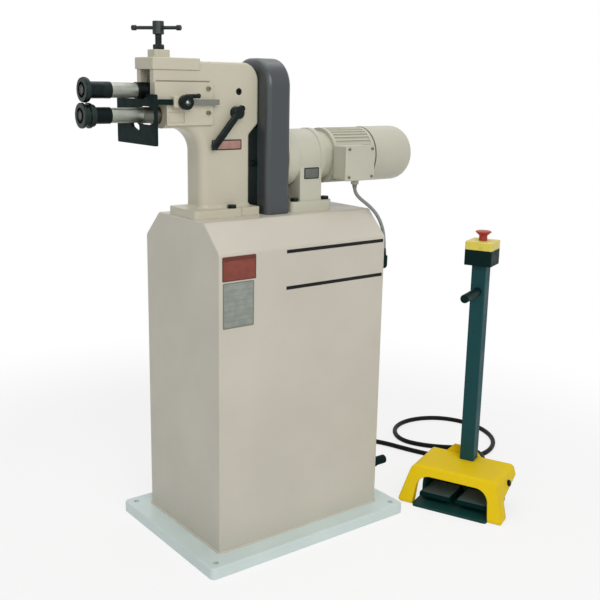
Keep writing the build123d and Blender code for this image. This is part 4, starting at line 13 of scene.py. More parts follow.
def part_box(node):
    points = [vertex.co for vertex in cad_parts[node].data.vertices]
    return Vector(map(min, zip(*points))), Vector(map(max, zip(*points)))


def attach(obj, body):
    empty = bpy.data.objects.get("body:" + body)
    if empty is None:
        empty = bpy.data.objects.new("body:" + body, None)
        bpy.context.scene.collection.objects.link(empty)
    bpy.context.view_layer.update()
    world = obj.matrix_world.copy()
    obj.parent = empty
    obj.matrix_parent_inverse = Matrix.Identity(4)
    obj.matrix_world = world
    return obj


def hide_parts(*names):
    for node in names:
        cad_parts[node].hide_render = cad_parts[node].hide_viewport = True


bl_info = {
    "name": "Bead roller looks",
    "version": (1, 0, 0),
    "blender": (4, 5, 0),
    "location": "View3D > Sidebar > Bead roller",
    "description": "Dresses the bead roller with its paints, metals, leads and trim",
    "category": "Object",
}

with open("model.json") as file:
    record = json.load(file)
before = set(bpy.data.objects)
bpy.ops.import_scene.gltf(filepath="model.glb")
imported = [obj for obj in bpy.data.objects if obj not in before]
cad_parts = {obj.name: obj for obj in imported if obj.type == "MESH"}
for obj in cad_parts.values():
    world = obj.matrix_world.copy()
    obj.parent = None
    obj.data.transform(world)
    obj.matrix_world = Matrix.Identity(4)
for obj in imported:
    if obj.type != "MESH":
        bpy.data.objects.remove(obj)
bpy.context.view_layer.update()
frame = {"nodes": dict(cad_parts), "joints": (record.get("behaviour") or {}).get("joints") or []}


def joint_place(name):
    """A point on a joint's axis, and the axis."""
    joint = next(joint for joint in frame["joints"] if joint["name"] == name)
    return np.array(joint["pos_m"]), np.array(joint["axis"])


# Places that come from the frame, in metres
SHELL_LOW, SHELL_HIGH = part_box("cabinet_shell")
RING_LOW, RING_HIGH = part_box("lock_ring")
CAP_LOW, CAP_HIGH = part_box("stop_cap")
PLATE_LOW, PLATE_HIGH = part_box("side_plate")
FRONT_WALL_Y = SHELL_LOW.y
SCREW_SPOT = (RING_LOW + RING_HIGH) / 2
CAP_SPOT = (CAP_LOW + CAP_HIGH) / 2
CLAMP_FACE_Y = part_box("clamp_lever")[0].y
CLAMP_SPOT = joint_place("clamp_turn")[0]

# The pedal station stands turned on the floor: its treadle hinge gives the place and the turn
PEDAL_SPOT, PEDAL_AXIS = joint_place("left_press")
PEDAL_TURN = atan2(PEDAL_AXIS[1], PEDAL_AXIS[0])

# Flat sides of the castings that carry plates, and places where a node changes its finish
HEAD_SIDE_Y = -0.038
GEARBOX_SIDE_Y = -0.066
SHAFT_END_X = -0.470
LOWER_COLLAR_X = -0.360
SIDE_SCREWS_Y = -0.042
PEDAL_TOP_Z = 0.5
MOTOR_GLAND_Z = 0.85

SMOOTH_ANGLE = radians(35)
PALE_GLOSS = 0.5
DARK_GLOSS = 0.12
MERGE_DISTANCE = 1e-7

# Linear colours of rubbed edges, which on the levers are also a painted highlight, and of the dust on the treads
BARE_STEEL_AND_HIGHLIGHT = (0.36, 0.36, 0.34)
RUBBED_STEEL = (0.42, 0.42, 0.40)
TREAD_DUST = (0.09, 0.16, 0.15)

# Routes of the two leads: the control points of their curves, from exit to far end
MOTOR_LEAD_ROUTE = [
    (0.207, -0.094, 0.887),
    (0.207, -0.094, 0.874),
    (0.212, -0.096, 0.861),
    (0.2225, -0.101, 0.849),
    (0.235, -0.1075, 0.8385),
    (0.247, -0.1155, 0.8265),
    (0.2575, -0.125, 0.811),
    (0.2645, -0.1345, 0.791),
    (0.269, -0.142, 0.765),
    (0.270, -0.1455, 0.735),
    (0.270, -0.1455, 0.704),
]
FLOOR_LEAD_Z = 0.008
PEDAL_FLOOR_ROUTE = [
    (0.260, 0.345), (0.330, 0.345), (0.420, 0.313), (0.507, 0.257), (0.578, 0.176), (0.612, 0.064),
    (0.652, -0.028), (0.718, -0.090), (0.802, -0.092), (0.876, -0.054), (0.924, 0.004), (0.946, 0.076),
    (0.936, 0.152), (0.898, 0.214), (0.838, 0.250), (0.770, 0.258), (0.708, 0.236), (0.664, 0.190),
    (0.648, 0.134), (0.668, 0.080), (0.706, 0.030),
]
PEDAL_LEAD_ROUTE = [
    (0.180, 0.204, 0.070),
    (0.180, 0.246, 0.070),
    (0.190, 0.290, 0.052),
    (0.214, 0.325, 0.022),
    *((x, y, FLOOR_LEAD_Z) for x, y in PEDAL_FLOOR_ROUTE),
    (0.733, -0.022, 0.017),
    (0.743, -0.070, 0.0275),
    (0.738, -0.114, 0.0285),
    (0.714, -0.152, 0.026),
    (0.673, -0.178, 0.028),
    (0.61989, -0.19340, 0.030),
    (0.58313, -0.20916, 0.030),
]


def srgb(red, green, blue):
    """Linear colour of an 8-bit display colour."""
    values = np.array([red, green, blue]) / 255
    linear = np.where(values <= 0.04045, values / 12.92, ((values + 0.055) / 1.055) ** 2.4)
    return tuple(float(value) for value in linear)


def colour_property(name, description, *display):
    return FloatVectorProperty(
        name=name, description=description, subtype="COLOR", size=3, min=0, max=1, default=srgb(*display)
    )


def length_property(name, description, default):
    return FloatProperty(name=name, description=description, subtype="DISTANCE", unit="LENGTH", default=default)


def power_property(name, description, default):
    return FloatProperty(name=name, description=description, subtype="POWER", min=0, default=default)


class PaintSettings(bpy.types.PropertyGroup):
    """Colours of the paints and plastics."""

    cream: colour_property("Cream", "Enamel of the cabinet", 203, 198, 184)
    casting: colour_property("Casting", "Enamel of the head", 199, 194, 174)
    drive: colour_property("Drive", "Enamel of the gearbox and the motor", 197, 195, 178)
    plate: colour_property("Base plate", "Enamel of the base plate", 215, 230, 228)
    slate: colour_property("Slate", "Enamel of the chain guard", 48, 55, 58)
    black: colour_property("Black", "Black enamel and black plastic", 12, 36, 35)
    fence: colour_property("Fence", "Enamel of the back gauge plate", 22, 38, 38)
    teal: colour_property("Teal", "Enamel of the pedal post", 28, 74, 78)
    pedal: colour_property("Pedal", "Enamel of the pedal base", 22, 66, 63)
    hood: colour_property("Hood", "Yellow enamel of the pedal hood", 242, 208, 22)
    lid: colour_property("Stop lid", "Yellow plastic of the stop box lid", 230, 212, 92)
    red: colour_property("Red", "Red plastic of the stop button", 172, 62, 54)
    wear: FloatProperty(name="Wear", description="How much the edges are rubbed", min=0, max=1, default=0.35)


class MetalSettings(bpy.types.PropertyGroup):
    """Colours of the bare and blackened metals."""

    bright: colour_property("Bright steel", "Ground shafts", 158, 162, 152)
    oxide: colour_property("Black oxide", "Blackened steel of levers, nuts and sleeves", 24, 33, 32)
    roll: colour_property("Roll steel", "Hardened steel of the rolls", 46, 56, 54)
    burnished: colour_property("Burnished steel", "Adjusting screw and tommy bar", 62, 67, 65)
    bronze: colour_property("Bronze", "Bearing bushes", 176, 134, 74)
    iron: colour_property("Iron", "Bearing blocks", 132, 130, 122)
    gear: colour_property("Gear steel", "Gears, sprockets and chain", 140, 138, 132)
    zinc: colour_property("Zinc", "Galvanised sheet of the electrical panel", 186, 190, 192)


class TrimSettings(bpy.types.PropertyGroup):
    """Sizes and colours of the blank plates and the stripes."""

    red_width: length_property("Red plate width", "Width of the blank red plate", 0.092)
    red_height: length_property("Red plate height", "Height of the blank red plate", 0.057)
    grey_width: length_property("Grey plate width", "Width of the blank data plate", 0.085)
    grey_height: length_property("Grey plate height", "Height of the blank data plate", 0.107)
    thickness: length_property("Plate thickness", "Thickness of the plates", 0.0010)
    stripe_length: length_property("Stripe length", "Length of the two stripes", 0.305)
    stripe_height: length_property("Stripe height", "Height of each stripe", 0.0085)
    red: colour_property("Red", "Print of the red plate", 135, 70, 59)
    pink: colour_property("Pale red", "Print of the column plate", 176, 136, 126)
    grey: colour_property("Grey", "Print of the data plate", 148, 154, 147)
    ink: colour_property("Ink", "Dark print and the stripes", 26, 30, 30)


class LeadSettings(bpy.types.PropertyGroup):
    """Sizes and colours of the two leads."""

    motor_diameter: length_property("Motor lead", "Diameter of the motor lead", 0.009)
    pedal_diameter: length_property("Pedal lead", "Diameter of the pedal lead", 0.015)
    motor_colour: colour_property("Motor lead", "Sheath of the motor lead", 130, 134, 131)
    pedal_colour: colour_property("Pedal lead", "Sheath of the pedal lead", 13, 13, 14)
    pedal_boot: length_property("Pedal boot", "Length of the boots on the pedal lead", 0.026)
    motor_boot: length_property("Motor boot", "Length of the boots on the motor lead", 0.010)


class StageSettings(bpy.types.PropertyGroup):
    """Camera, lamps and floor."""

    lens: FloatProperty(name="Lens", description="Focal length on a 36 mm sensor", unit="CAMERA", default=54.77)
    camera: FloatVectorProperty(
        name="Camera", description="Place of the camera", subtype="TRANSLATION", default=(-1.3252, -1.8635, 1.1412)
    )
    yaw: FloatProperty(name="Yaw", description="Turn about the vertical", subtype="ANGLE", default=radians(-37.61))
    pitch: FloatProperty(name="Pitch", description="Look down from level", subtype="ANGLE", default=radians(13.5))
    roll: FloatProperty(name="Roll", description="Tilt of the picture", subtype="ANGLE", default=radians(1.11))
    sky: FloatProperty(name="Sky", description="Strength of the light from all round", min=0, default=0.36)
    key: power_property("Key", "Power of the front lamp", 55)
    fill: power_property("Fill", "Power of the side lamp", 8)
    top: power_property("Top", "Power of the top lamp", 28)


class BeadRollerSettings(bpy.types.PropertyGroup):
    """All settings of the looks."""

    paint: PointerProperty(type=PaintSettings)
    metal: PointerProperty(type=MetalSettings)
    trim: PointerProperty(type=TrimSettings)
    lead: PointerProperty(type=LeadSettings)
    stage: PointerProperty(type=StageSettings)


# Surfaces on grids


def grid_faces(rows, columns, wrap_rows=False, wrap_columns=False):
    """Quads between neighbouring points of a grid, closed over the sides that wrap."""
    index = np.arange(rows * columns).reshape(rows, columns)
    if wrap_columns:
        index = np.concatenate([index, index[:, :1]], axis=1)
    if wrap_rows:
        index = np.concatenate([index, index[:1]], axis=0)
    corners = (index[:-1, :-1], index[1:, :-1], index[1:, 1:], index[:-1, 1:])
    return np.stack(corners, axis=-1).reshape(-1, 4)


def ring_surface(rings):
    """Closed skin over rings of points (rings, points, 3), each ring joined to the next and both ends capped."""
    count, around = rings.shape[:2]
    faces = grid_faces(count, around, wrap_columns=True).tolist()
    faces.append(list(range(around)))
    faces.append(list(range((count - 1) * around, count * around)))
    return rings.reshape(-1, 3), faces


def torus_surface(rings):
    """Closed skin over rings of points that join up in both directions."""
    faces = grid_faces(*rings.shape[:2], wrap_rows=True, wrap_columns=True).tolist()
    return rings.reshape(-1, 3), faces


def add_object(name, data):
    """An object that is linked to the scene."""
    shown = bpy.data.objects.new(name, data)
    bpy.context.scene.collection.objects.link(shown)
    return shown


def ride_piece(name, data, body="frame"):
    """An object of the part, riding on a body."""
    piece = add_object(name, data)
    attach(piece, body)
    return piece


def make_piece(name, surfaces, material, body="frame", stands_for=()):
    """One object of one or more surfaces, faces outwards, riding on a body."""
    points, faces, start = [], [], 0
    for vertices, polygons in surfaces:
        points.append(np.asarray(vertices))
        faces.extend([[corner + start for corner in polygon] for polygon in polygons])
        start += len(vertices)
    mesh = bpy.data.meshes.new(name)
    mesh.from_pydata(np.concatenate(points).tolist(), [], faces)
    work = bmesh.new()
    work.from_mesh(mesh)
    bmesh.ops.remove_doubles(work, verts=work.verts, dist=MERGE_DISTANCE)
    bmesh.ops.recalc_face_normals(work, faces=work.faces)
    work.to_mesh(mesh)
    work.free()
    mesh.polygons.foreach_set("use_smooth", [True] * len(mesh.polygons))
    mesh.set_sharp_from_angle(angle=SMOOTH_ANGLE)
    mesh.materials.append(material)
    piece = ride_piece(name, mesh, body)
    if stands_for:
        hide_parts(*stands_for)
    return piece


def rounded_rectangle(width, height, radius, arc_points=8):
    """Outline of a rectangle: each corner's centre plus its radius swung through a quarter circle."""
    swing = np.linspace(0, pi / 2, arc_points)
    angles = (np.arange(4)[:, None] * pi / 2 + swing).ravel()
    sides = np.repeat(np.array([(1, 1), (-1, 1), (-1, -1), (1, -1)]), arc_points, axis=0)
    centres = sides * np.array([width / 2 - radius, height / 2 - radius])
    return centres + radius * np.stack([np.cos(angles), np.sin(angles)], axis=-1)


def flat_plate(centre, width, height, radius, thickness, edge):
    """Thin plate on a wall that faces -Y: rounded outlines that step in by the edge as they stand out."""
    profile = [(0, 0), (0, thickness - edge), (edge * 0.3, thickness - edge * 0.3), (edge, thickness)]
    rings = []
    for inset, out in profile:
        flat = rounded_rectangle(width - 2 * inset, height - 2 * inset, radius - inset)
        depth = np.full(len(flat), centre[1] - out)
        rings.append(np.stack([centre[0] + flat[:, 0], depth, centre[2] + flat[:, 1]], axis=-1))
    return ring_surface(np.array(rings))


def lathe(profile, origin, axis, points):
    """Rings of a profile of (along, radius) pairs turned about an axis: each radius swung round a full circle."""
    along, radius = np.array(profile).T
    axis = np.array(axis, float)
    axis /= np.linalg.norm(axis)
    side = np.cross(axis, (0, 0, 1) if abs(axis[2]) < 0.9 else (1, 0, 0))
    side /= np.linalg.norm(side)
    other = np.cross(axis, side)
    swing = np.linspace(0, tau, points, endpoint=False)
    circle = np.cos(swing)[:, None] * side + np.sin(swing)[:, None] * other
    return np.array(origin) + along[:, None, None] * axis + radius[:, None, None] * circle


def round_screw(out, swing, rise):
    """Points at distances out from the adjusting screw's axis, swung round it, at their heights."""
    x = SCREW_SPOT.x + out * np.cos(swing)[:, None]
    y = SCREW_SPOT.y + out * np.sin(swing)[:, None]
    return np.stack([x, y, rise], axis=-1)


def dome(centre, axis, radius, height, rings=6):
    """Rivet head: a half ellipse turned about its axis, with a small flat on top."""
    rise = np.linspace(0, 0.48 * pi, rings)
    profile = np.stack([height * np.sin(rise), radius * np.cos(rise)], axis=-1)
    return ring_surface(lathe(profile, centre, axis, 20))


# Materials


def shade(colour, factor):
    """A colour made darker or lighter by a factor."""
    return tuple(min(1.0, part * factor) for part in colour)


def add_node(tree, kind, inputs=(), **settings):
    """A node with its settings, whose inputs are values or the sockets that feed them."""
    node = tree.nodes.new(kind)
    for setting, value in settings.items():
        setattr(node, setting, value)
    for socket, value in dict(inputs).items():
        if isinstance(value, bpy.types.NodeSocket):
            tree.links.new(value, node.inputs[socket])
        else:
            node.inputs[socket].default_value = value
    return node


class Finish:
    """One procedural material: a Principled shader and the nodes that feed it."""

    def __init__(self, name, constants=()):
        self.material = bpy.data.materials.new(name)
        self.material.use_nodes = True
        self.tree = self.material.node_tree
        self.shader = self.tree.nodes["Principled BSDF"]
        for socket, value in dict(constants).items():
            self.shader.inputs[socket].default_value = value
        self.place = self.add("ShaderNodeTexCoord").outputs["Object"]

    def add(self, kind, inputs=(), **settings):
        return add_node(self.tree, kind, inputs, **settings)

    def feed(self, socket, source):
        self.tree.links.new(source, self.shader.inputs[socket])

    def noise(self, scale, detail=2.0):
        """Cloudy pattern from 0 to 1, with cells of about one metre over the scale."""
        inputs = {"Vector": self.place, "Scale": scale, "Detail": detail}
        return self.add("ShaderNodeTexNoise", inputs).outputs["Fac"]

    def part(self, axis):
        """One coordinate of the place on the piece."""
        return self.add("ShaderNodeSeparateXYZ", {"Vector": self.place}).outputs[axis]

    def remap(self, value, low, high, to_low=0.0, to_high=1.0):
        """The value stretched from one range to another and eased at both ends."""
        node = self.add("ShaderNodeMapRange", {0: value, 1: low, 2: high, 3: to_low, 4: to_high})
        node.interpolation_type = "SMOOTHSTEP"
        return node.outputs[0]

    def past(self, axis, place, ease=0.0004):
        """0 before a place along an axis and 1 past it."""
        return self.remap(self.part(axis), place - ease, place + ease)

    def calculate(self, operation, first, second=0.0):
        return self.add("ShaderNodeMath", {0: first, 1: second}, operation=operation).outputs[0]

    def times(self, first, second):
        return self.calculate("MULTIPLY", first, second)

    def blend(self, amount, first, second):
        """The first colour where the amount is 0 and the second where it is 1."""
        pair = [part if isinstance(part, bpy.types.NodeSocket) else (*part, 1) for part in (first, second)]
        node = self.add("ShaderNodeMix", {0: amount, 6: pair[0], 7: pair[1]}, data_type="RGBA")
        return node.outputs[2]

    def rounded(self, radius):
        """Normal with every edge eased to a small radius."""
        return self.add("ShaderNodeBevel", {"Radius": radius}, samples=4).outputs["Normal"]

    def edges(self, radius):
        """1 on the edges and 0 on flat faces: how far the eased normal leans from the true one."""
        true = self.add("ShaderNodeNewGeometry").outputs["Normal"]
        lean = self.add("ShaderNodeVectorMath", {0: self.rounded(radius), 1: true}, operation="DOT_PRODUCT")
        return self.remap(lean.outputs["Value"], 0.985, 0.80)

    def relief(self, height, strength, depth, normal):
        """Bump from a height pattern over a normal, fed to the shader."""
        inputs = {"Height": height, "Strength": strength, "Distance": depth, "Normal": normal}
        self.feed("Normal", self.add("ShaderNodeBump", inputs).outputs["Normal"])

    def grain(self, scale, detail, strength, depth, edge):
        """Fine bump from a cloudy pattern, over edges that are eased to a radius."""
        self.relief(self.noise(scale, detail), strength, depth, self.rounded(edge))

    def mottle(self, scale, detail, smooth, rough):
        """Roughness that wanders between two values in a cloudy pattern."""
        self.feed("Roughness", self.remap(self.noise(scale, detail), 0.3, 0.7, smooth, rough))

    def cloudy(self, colour, scale, detail, dark, light, low=0.3, high=0.7):
        """A colour that drifts between a darker and a lighter shade of itself."""
        cloud = self.remap(self.noise(scale, detail), low, high)
        return self.blend(cloud, shade(colour, dark), shade(colour, light))

    def rubbed(self, edge, amount, scale, detail, low, high):
        """How far the edges are rubbed: the edges, where a cloudy pattern is high, times an amount."""
        patches = self.remap(self.noise(scale, detail), low, high)
        return self.times(self.times(self.edges(edge), patches), amount)


def enamel(name, colour, wear, edge=0.0012, gloss=PALE_GLOSS, cast=False):
    """Machine enamel: cloudy tint, orange peel, rubbed edges; over a casting the skin rolls more."""
    finish = Finish(name, {"Coat Weight": 0.3 * gloss, "Coat Roughness": 0.25, "Specular IOR Level": gloss})
    tint = finish.cloudy(colour, 4.0, 5.0, 0.95, 1.03)
    specks = finish.remap(finish.noise(260.0, 3.0), 0.66, 0.78)
    tint = finish.blend(finish.times(specks, 0.12), tint, shade(colour, 0.55))
    pale = tuple(0.6 * part + 0.25 for part in colour)
    finish.feed("Base Color", finish.blend(finish.rubbed(edge, wear, 55.0, 4.0, 0.45, 0.7), tint, pale))
    smooth = 0.52 - 0.36 * gloss
    finish.mottle(18.0, 3.0, smooth, smooth + 0.14)
    peel = finish.noise(420.0, 1.5)
    if cast:
        rolling = finish.noise(70.0, 3.0)
        peel = finish.calculate("ADD", finish.times(rolling, 3.0), peel)
    finish.relief(peel, 0.10, 0.0006, finish.rounded(edge))
    return finish.material


def black_oxide(name, colour, wear, edge=0.0010):
    """Blackened steel: oily patches and edges rubbed to bare metal, which with a wide edge is also a painted
    highlight.
    """
    finish = Finish(name, {"Metallic": 0.75, "Specular IOR Level": 0.3})
    tint = finish.cloudy(colour, 45.0, 4.0, 0.7, 1.3, 0.35, 0.65)
    finish.feed("Base Color", finish.blend(finish.rubbed(edge, wear, 130.0, 3.0, 0.35, 0.6), tint, BARE_STEEL_AND_HIGHLIGHT))
    finish.mottle(60.0, 3.0, 0.30, 0.48)
    finish.grain(500.0, 2.0, 0.08, 0.0004, 0.0008)
    return finish.material


def turned_steel(name, colour, roughness, ring_scale=2600.0, dark_end=None):
    """Steel turned or ground about an axis along X: fine rings, and an end that is blackened up to a place."""
    finish = Finish(name, {"Metallic": 1.0})
    along = finish.times(finish.part("X"), ring_scale)
    rings = finish.add("ShaderNodeTexNoise", {"W": along, "Detail": 2.0}, noise_dimensions="1D").outputs["Fac"]
    tint = finish.cloudy(colour, 30.0, 3.0, 0.86, 1.06)
    if dark_end:
        tint = finish.blend(finish.past("X", dark_end), shade(colour, 0.12), tint)
    finish.feed("Base Color", finish.blend(finish.remap(rings, 0.35, 0.65, 0.0, 0.35), tint, shade(colour, 0.7)))
    finish.feed("Roughness", finish.remap(rings, 0.3, 0.7, roughness, roughness + 0.14))
    finish.relief(rings, 0.06, 0.0003, finish.rounded(0.0006))
    return finish.material


def oiled_metal(name, colour, roughness):
    """Machined metal under a film of oil: darker in patches, with fine grain."""
    finish = Finish(name, {"Metallic": 1.0})
    finish.feed("Base Color", finish.cloudy(colour, 24.0, 4.0, 0.72, 1.0, 0.35, 0.65))
    finish.mottle(40.0, 3.0, roughness, roughness + 0.2)
    finish.grain(180.0, 3.0, 0.12, 0.0004, 0.0006)
    return finish.material


def parted(name, share, first, second):
    """Two finishes on one node, each a colour, a metal share and a roughness: the second where the share is 1."""
    finish = Finish(name, {"Specular IOR Level": 0.05})
    amount = share(finish)
    cloud = finish.remap(finish.noise(40.0, 4.0), 0.35, 0.65, 0.0, 0.3)
    tints = [finish.blend(cloud, colour, shade(colour, 0.7)) for colour, _, _ in (first, second)]
    worn = finish.rubbed(0.0008, 0.2, 120.0, 3.0, 0.4, 0.65)
    finish.feed("Base Color", finish.blend(worn, finish.blend(amount, *tints), RUBBED_STEEL))
    finish.feed("Metallic", finish.remap(amount, 0.0, 1.0, first[1], second[1]))
    rough = finish.remap(amount, 0.0, 1.0, first[2], second[2])
    finish.feed("Roughness", finish.calculate("ADD", rough, finish.times(cloud, 0.3)))
    finish.grain(450.0, 2.0, 0.08, 0.0004, 0.0008)
    return finish.material


def moulded_plastic(name, colour, roughness, gloss):
    """Moulded plastic: fine spark grain and slightly paler edges."""
    finish = Finish(name, {"Specular IOR Level": gloss})
    tint = finish.cloudy(colour, 35.0, 3.0, 0.92, 1.06)
    rim = finish.times(finish.edges(0.0008), 0.25)
    finish.feed("Base Color", finish.blend(rim, tint, shade(colour, 1.5)))
    finish.mottle(90.0, 2.0, roughness, roughness + 0.12)
    finish.grain(700.0, 2.0, 0.12, 0.0003, 0.0008)
    return finish.material


def sheath(name, colour, gloss):
    """Extruded sheath of a lead: smooth, with faint scuffs."""
    finish = Finish(name, {"Specular IOR Level": gloss})
    scuffs = finish.remap(finish.noise(85.0, 5.0), 0.58, 0.75)
    finish.feed("Base Color", finish.blend(finish.times(scuffs, 0.35), colour, shade(colour, 1.9)))
    finish.mottle(60.0, 3.0, 0.40, 0.55)
    finish.grain(300.0, 2.0, 0.05, 0.0004, 0.0005)
    return finish.material


def rubber(name, colour):
    """Moulded rubber: matt, dusty in the hollows."""
    finish = Finish(name, {"Specular IOR Level": 0.0})
    dust = finish.remap(finish.noise(70.0, 5.0), 0.5, 0.8)
    finish.feed("Base Color", finish.blend(finish.times(dust, 0.05), colour, TREAD_DUST))
    finish.mottle(120.0, 3.0, 0.6, 0.8)
    finish.grain(600.0, 3.0, 0.2, 0.0004, 0.0006)
    return finish.material


def printed_plate(name, centre, size, field, ink, header=0.0, rows=0):
    """Printed metal plate: a worn field in a dark border, with a dark band at its top and ruled rows below."""
    finish = Finish(name, {"Metallic": 0.15, "Specular IOR Level": 0.3})
    border, ease = 0.0030, 0.0006
    across = finish.calculate("ABSOLUTE", finish.calculate("SUBTRACT", finish.part("X"), centre[0]))
    up = finish.calculate("SUBTRACT", finish.part("Z"), centre[1])
    ends = finish.remap(across, size[0] / 2 - border, size[0] / 2 - border + ease)
    level = finish.remap(finish.calculate("ABSOLUTE", up), size[1] / 2 - border, size[1] / 2 - border + ease)
    marks = finish.calculate("MAXIMUM", ends, level)
    if header:
        edge = size[1] / 2 - header
        marks = finish.calculate("MAXIMUM", marks, finish.remap(up, edge - ease, edge))
    if rows:
        pitch = (size[1] - header) / rows
        cycle = finish.calculate("FRACT", finish.calculate("DIVIDE", finish.calculate("ADD", up, size[1]), pitch))
        ruled = finish.times(finish.remap(cycle, 0.80, 0.88), 0.35)
        marks = finish.calculate("MAXIMUM", marks, ruled)
    finish.feed("Base Color", finish.blend(marks, finish.cloudy(field, 60.0, 4.0, 0.88, 1.05, 0.35, 0.7), ink))
    finish.mottle(90.0, 3.0, 0.40, 0.55)
    finish.grain(500.0, 2.0, 0.05, 0.0003, 0.0004)
    return finish.material


def dress(material, *nodes):
    """One material on every slot of some frame pieces."""
    for node in nodes:
        piece = frame["nodes"][node]
        piece.data.materials.clear()
        piece.data.materials.append(material)


def settings():
    return bpy.context.scene.bead_roller


class FinishOperator(bpy.types.Operator):
    """What the operators share: each builds its part of the looks."""

    bl_options = {"REGISTER", "UNDO"}

    def execute(self, context):
        self.build()
        return {"FINISHED"}


class BEADROLLER_OT_paint_stand(FinishOperator):
    """Paint the base plate, the cabinet, its door and its fittings"""

    bl_idname = "bead_roller.paint_stand"
    bl_label = "Paint the stand"

    def build(self):
        paint, metal = settings().paint, settings().metal
        black, drive = paint.black, paint.drive
        dress(enamel("cabinet_enamel", paint.cream, paint.wear), "cabinet_shell", "cabinet_door")
        dress(enamel("plate_enamel", paint.plate, paint.wear, 0.002), "base_plate")
        dress(moulded_plastic("fitting_plastic", black, 0.45, DARK_GLOSS), "door_handle")
        dress(
            parted("gland_plastic", lambda finish: finish.past("Z", MOTOR_GLAND_Z), (black, 0, 0.4), (drive, 0, 0.4)),
            "cable_glands",
        )
        dress(oiled_metal("zinc_sheet", metal.zinc, 0.3), "control_panel")


class BEADROLLER_OT_weld_foot(FinishOperator):
    """Run the weld bead round the foot of the cabinet"""

    bl_idname = "bead_roller.weld_foot"
    bl_label = "Weld the cabinet's foot"

    LEG = 0.0040
    SWELL = 0.10
    RIPPLE = 0.0040
    CORNER = 0.0040
    ROOT = 0.0004

    def build(self):
        """A quarter-round section carried round the foot, whose leg swells and shrinks once per ripple."""
        size = SHELL_HIGH - SHELL_LOW
        outline = rounded_rectangle(size.x, size.y, self.CORNER)
        outline = np.concatenate([outline, outline[:1]])
        walked = np.concatenate([[0], np.cumsum(np.linalg.norm(np.diff(outline, axis=0), axis=1))])
        ripples = int(walked[-1] / self.RIPPLE)
        steps = np.linspace(0, walked[-1], ripples * 4, endpoint=False)
        path = np.stack([np.interp(steps, walked, outline[:, axis]) for axis in (0, 1)], axis=-1)
        forward = np.roll(path, -1, axis=0) - np.roll(path, 1, axis=0)
        outward = np.stack([forward[:, 1], -forward[:, 0]], axis=-1)
        outward /= np.linalg.norm(outward, axis=1)[:, None]
        leg = self.LEG * (1 + self.SWELL * np.cos(steps / walked[-1] * ripples * tau))[:, None]
        swing = np.linspace(0, pi / 2, 6)
        out = np.concatenate([np.full_like(leg, -self.ROOT), leg * np.cos(swing)], axis=1)
        up = np.concatenate([np.full_like(leg, -self.ROOT), leg * np.sin(swing)], axis=1)
        middle = (SHELL_LOW + SHELL_HIGH) / 2
        x = middle.x + path[:, :1] + outward[:, :1] * out
        y = middle.y + path[:, 1:] + outward[:, 1:] * out
        rings = np.stack([x, y, SHELL_LOW.z + up], axis=-1)
        make_piece("foot_weld", [torus_surface(rings)], bpy.data.materials["cabinet_enamel"])


class BEADROLLER_OT_paint_head(FinishOperator):
    """Paint the head casting and its covers, and blacken its levers and screws"""

    bl_idname = "bead_roller.paint_head"
    bl_label = "Paint the head"

    @staticmethod
    def painted_screws(finish):
        """1 on the screws of the side plate and the terminal lid, which are painted over; their darkened enamel is
        painted shade for their sockets.
        """
        proud = finish.calculate("SUBTRACT", 1.0, finish.past("Y", SIDE_SCREWS_Y))
        return finish.times(proud, finish.past("Z", PEDAL_TOP_Z))

    def build(self):
        paint, metal = settings().paint, settings().metal
        casting, oxide, bright = paint.casting, metal.oxide, metal.bright
        dress(
            enamel("casting_enamel", casting, paint.wear, 0.002, cast=True),
            "head_casting", "slide_cap", "screw_nut", "side_plate",
        )
        dress(
            black_oxide("black_oxide", oxide, paint.wear),
            "door_hinges", "hex_bolts", "lock_ring", "thrust_pad", "trunnion_pins", "upper_spacers",
            "upper_roll_nut", "lower_roll_nut",
        )
        # The levers' edges are rubbed twice as hard over a wider band: wear, and a painted highlight along the
        # lever's edge
        dress(black_oxide("lever_black", oxide, 2 * paint.wear, 0.0022), "clamp_lever", "side_lever")
        dress(oiled_metal("burnished_steel", metal.burnished, 0.2), "adjusting_screw", "tommy_bar")
        # The painted-over screws take the casting's enamel at 0.45 of its colour: painted shade that stands in for
        # their dark sockets
        dress(
            parted("screw_finish", self.painted_screws, (oxide, 0.7, 0.4), (shade(casting, 0.45), 0, 0.45)),
            "socket_screws",
        )
        fence, bar = (paint.fence, 0, 0.5), (shade(bright, 0.6), 0.9, 0.35)
        dress(parted("gauge_finish", lambda finish: finish.past("X", CLAMP_SPOT[0]), fence, bar), "fence")
        sleeve, collar = (oxide, 0.7, 0.4), (shade(bright, 0.5), 0.8, 0.4)
        dress(
            parted("sleeve_finish", lambda finish: finish.past("X", LOWER_COLLAR_X), sleeve, collar),
            "lower_spacers",
        )
        dress(oiled_metal("bearing_iron", metal.iron, 0.4), "upper_bearing_block", "upper_rear_bearing")
        dress(oiled_metal("bush_bronze", metal.bronze, 0.3), "lower_bushes")


class BEADROLLER_OT_finish_rolls(FinishOperator):
    """Give the shafts, rolls, gears and chain their turned and oiled metals"""

    bl_idname = "bead_roller.finish_rolls"
    bl_label = "Finish the rolls"

    def build(self):
        metal = settings().metal
        dress(
            turned_steel("ground_steel", metal.bright, 0.32, dark_end=SHAFT_END_X),
            "upper_shaft", "lower_shaft", "gearbox_shaft", "motor_rotor", "treadle_pin",
        )
        dress(turned_steel("roll_steel", metal.roll, 0.34, 900.0), "upper_roll", "lower_roll")
        dress(
            oiled_metal("gear_steel", metal.gear, 0.3),
            "upper_gear", "lower_gear", "driven_sprocket", "drive_sprocket", "drive_chain",
        )


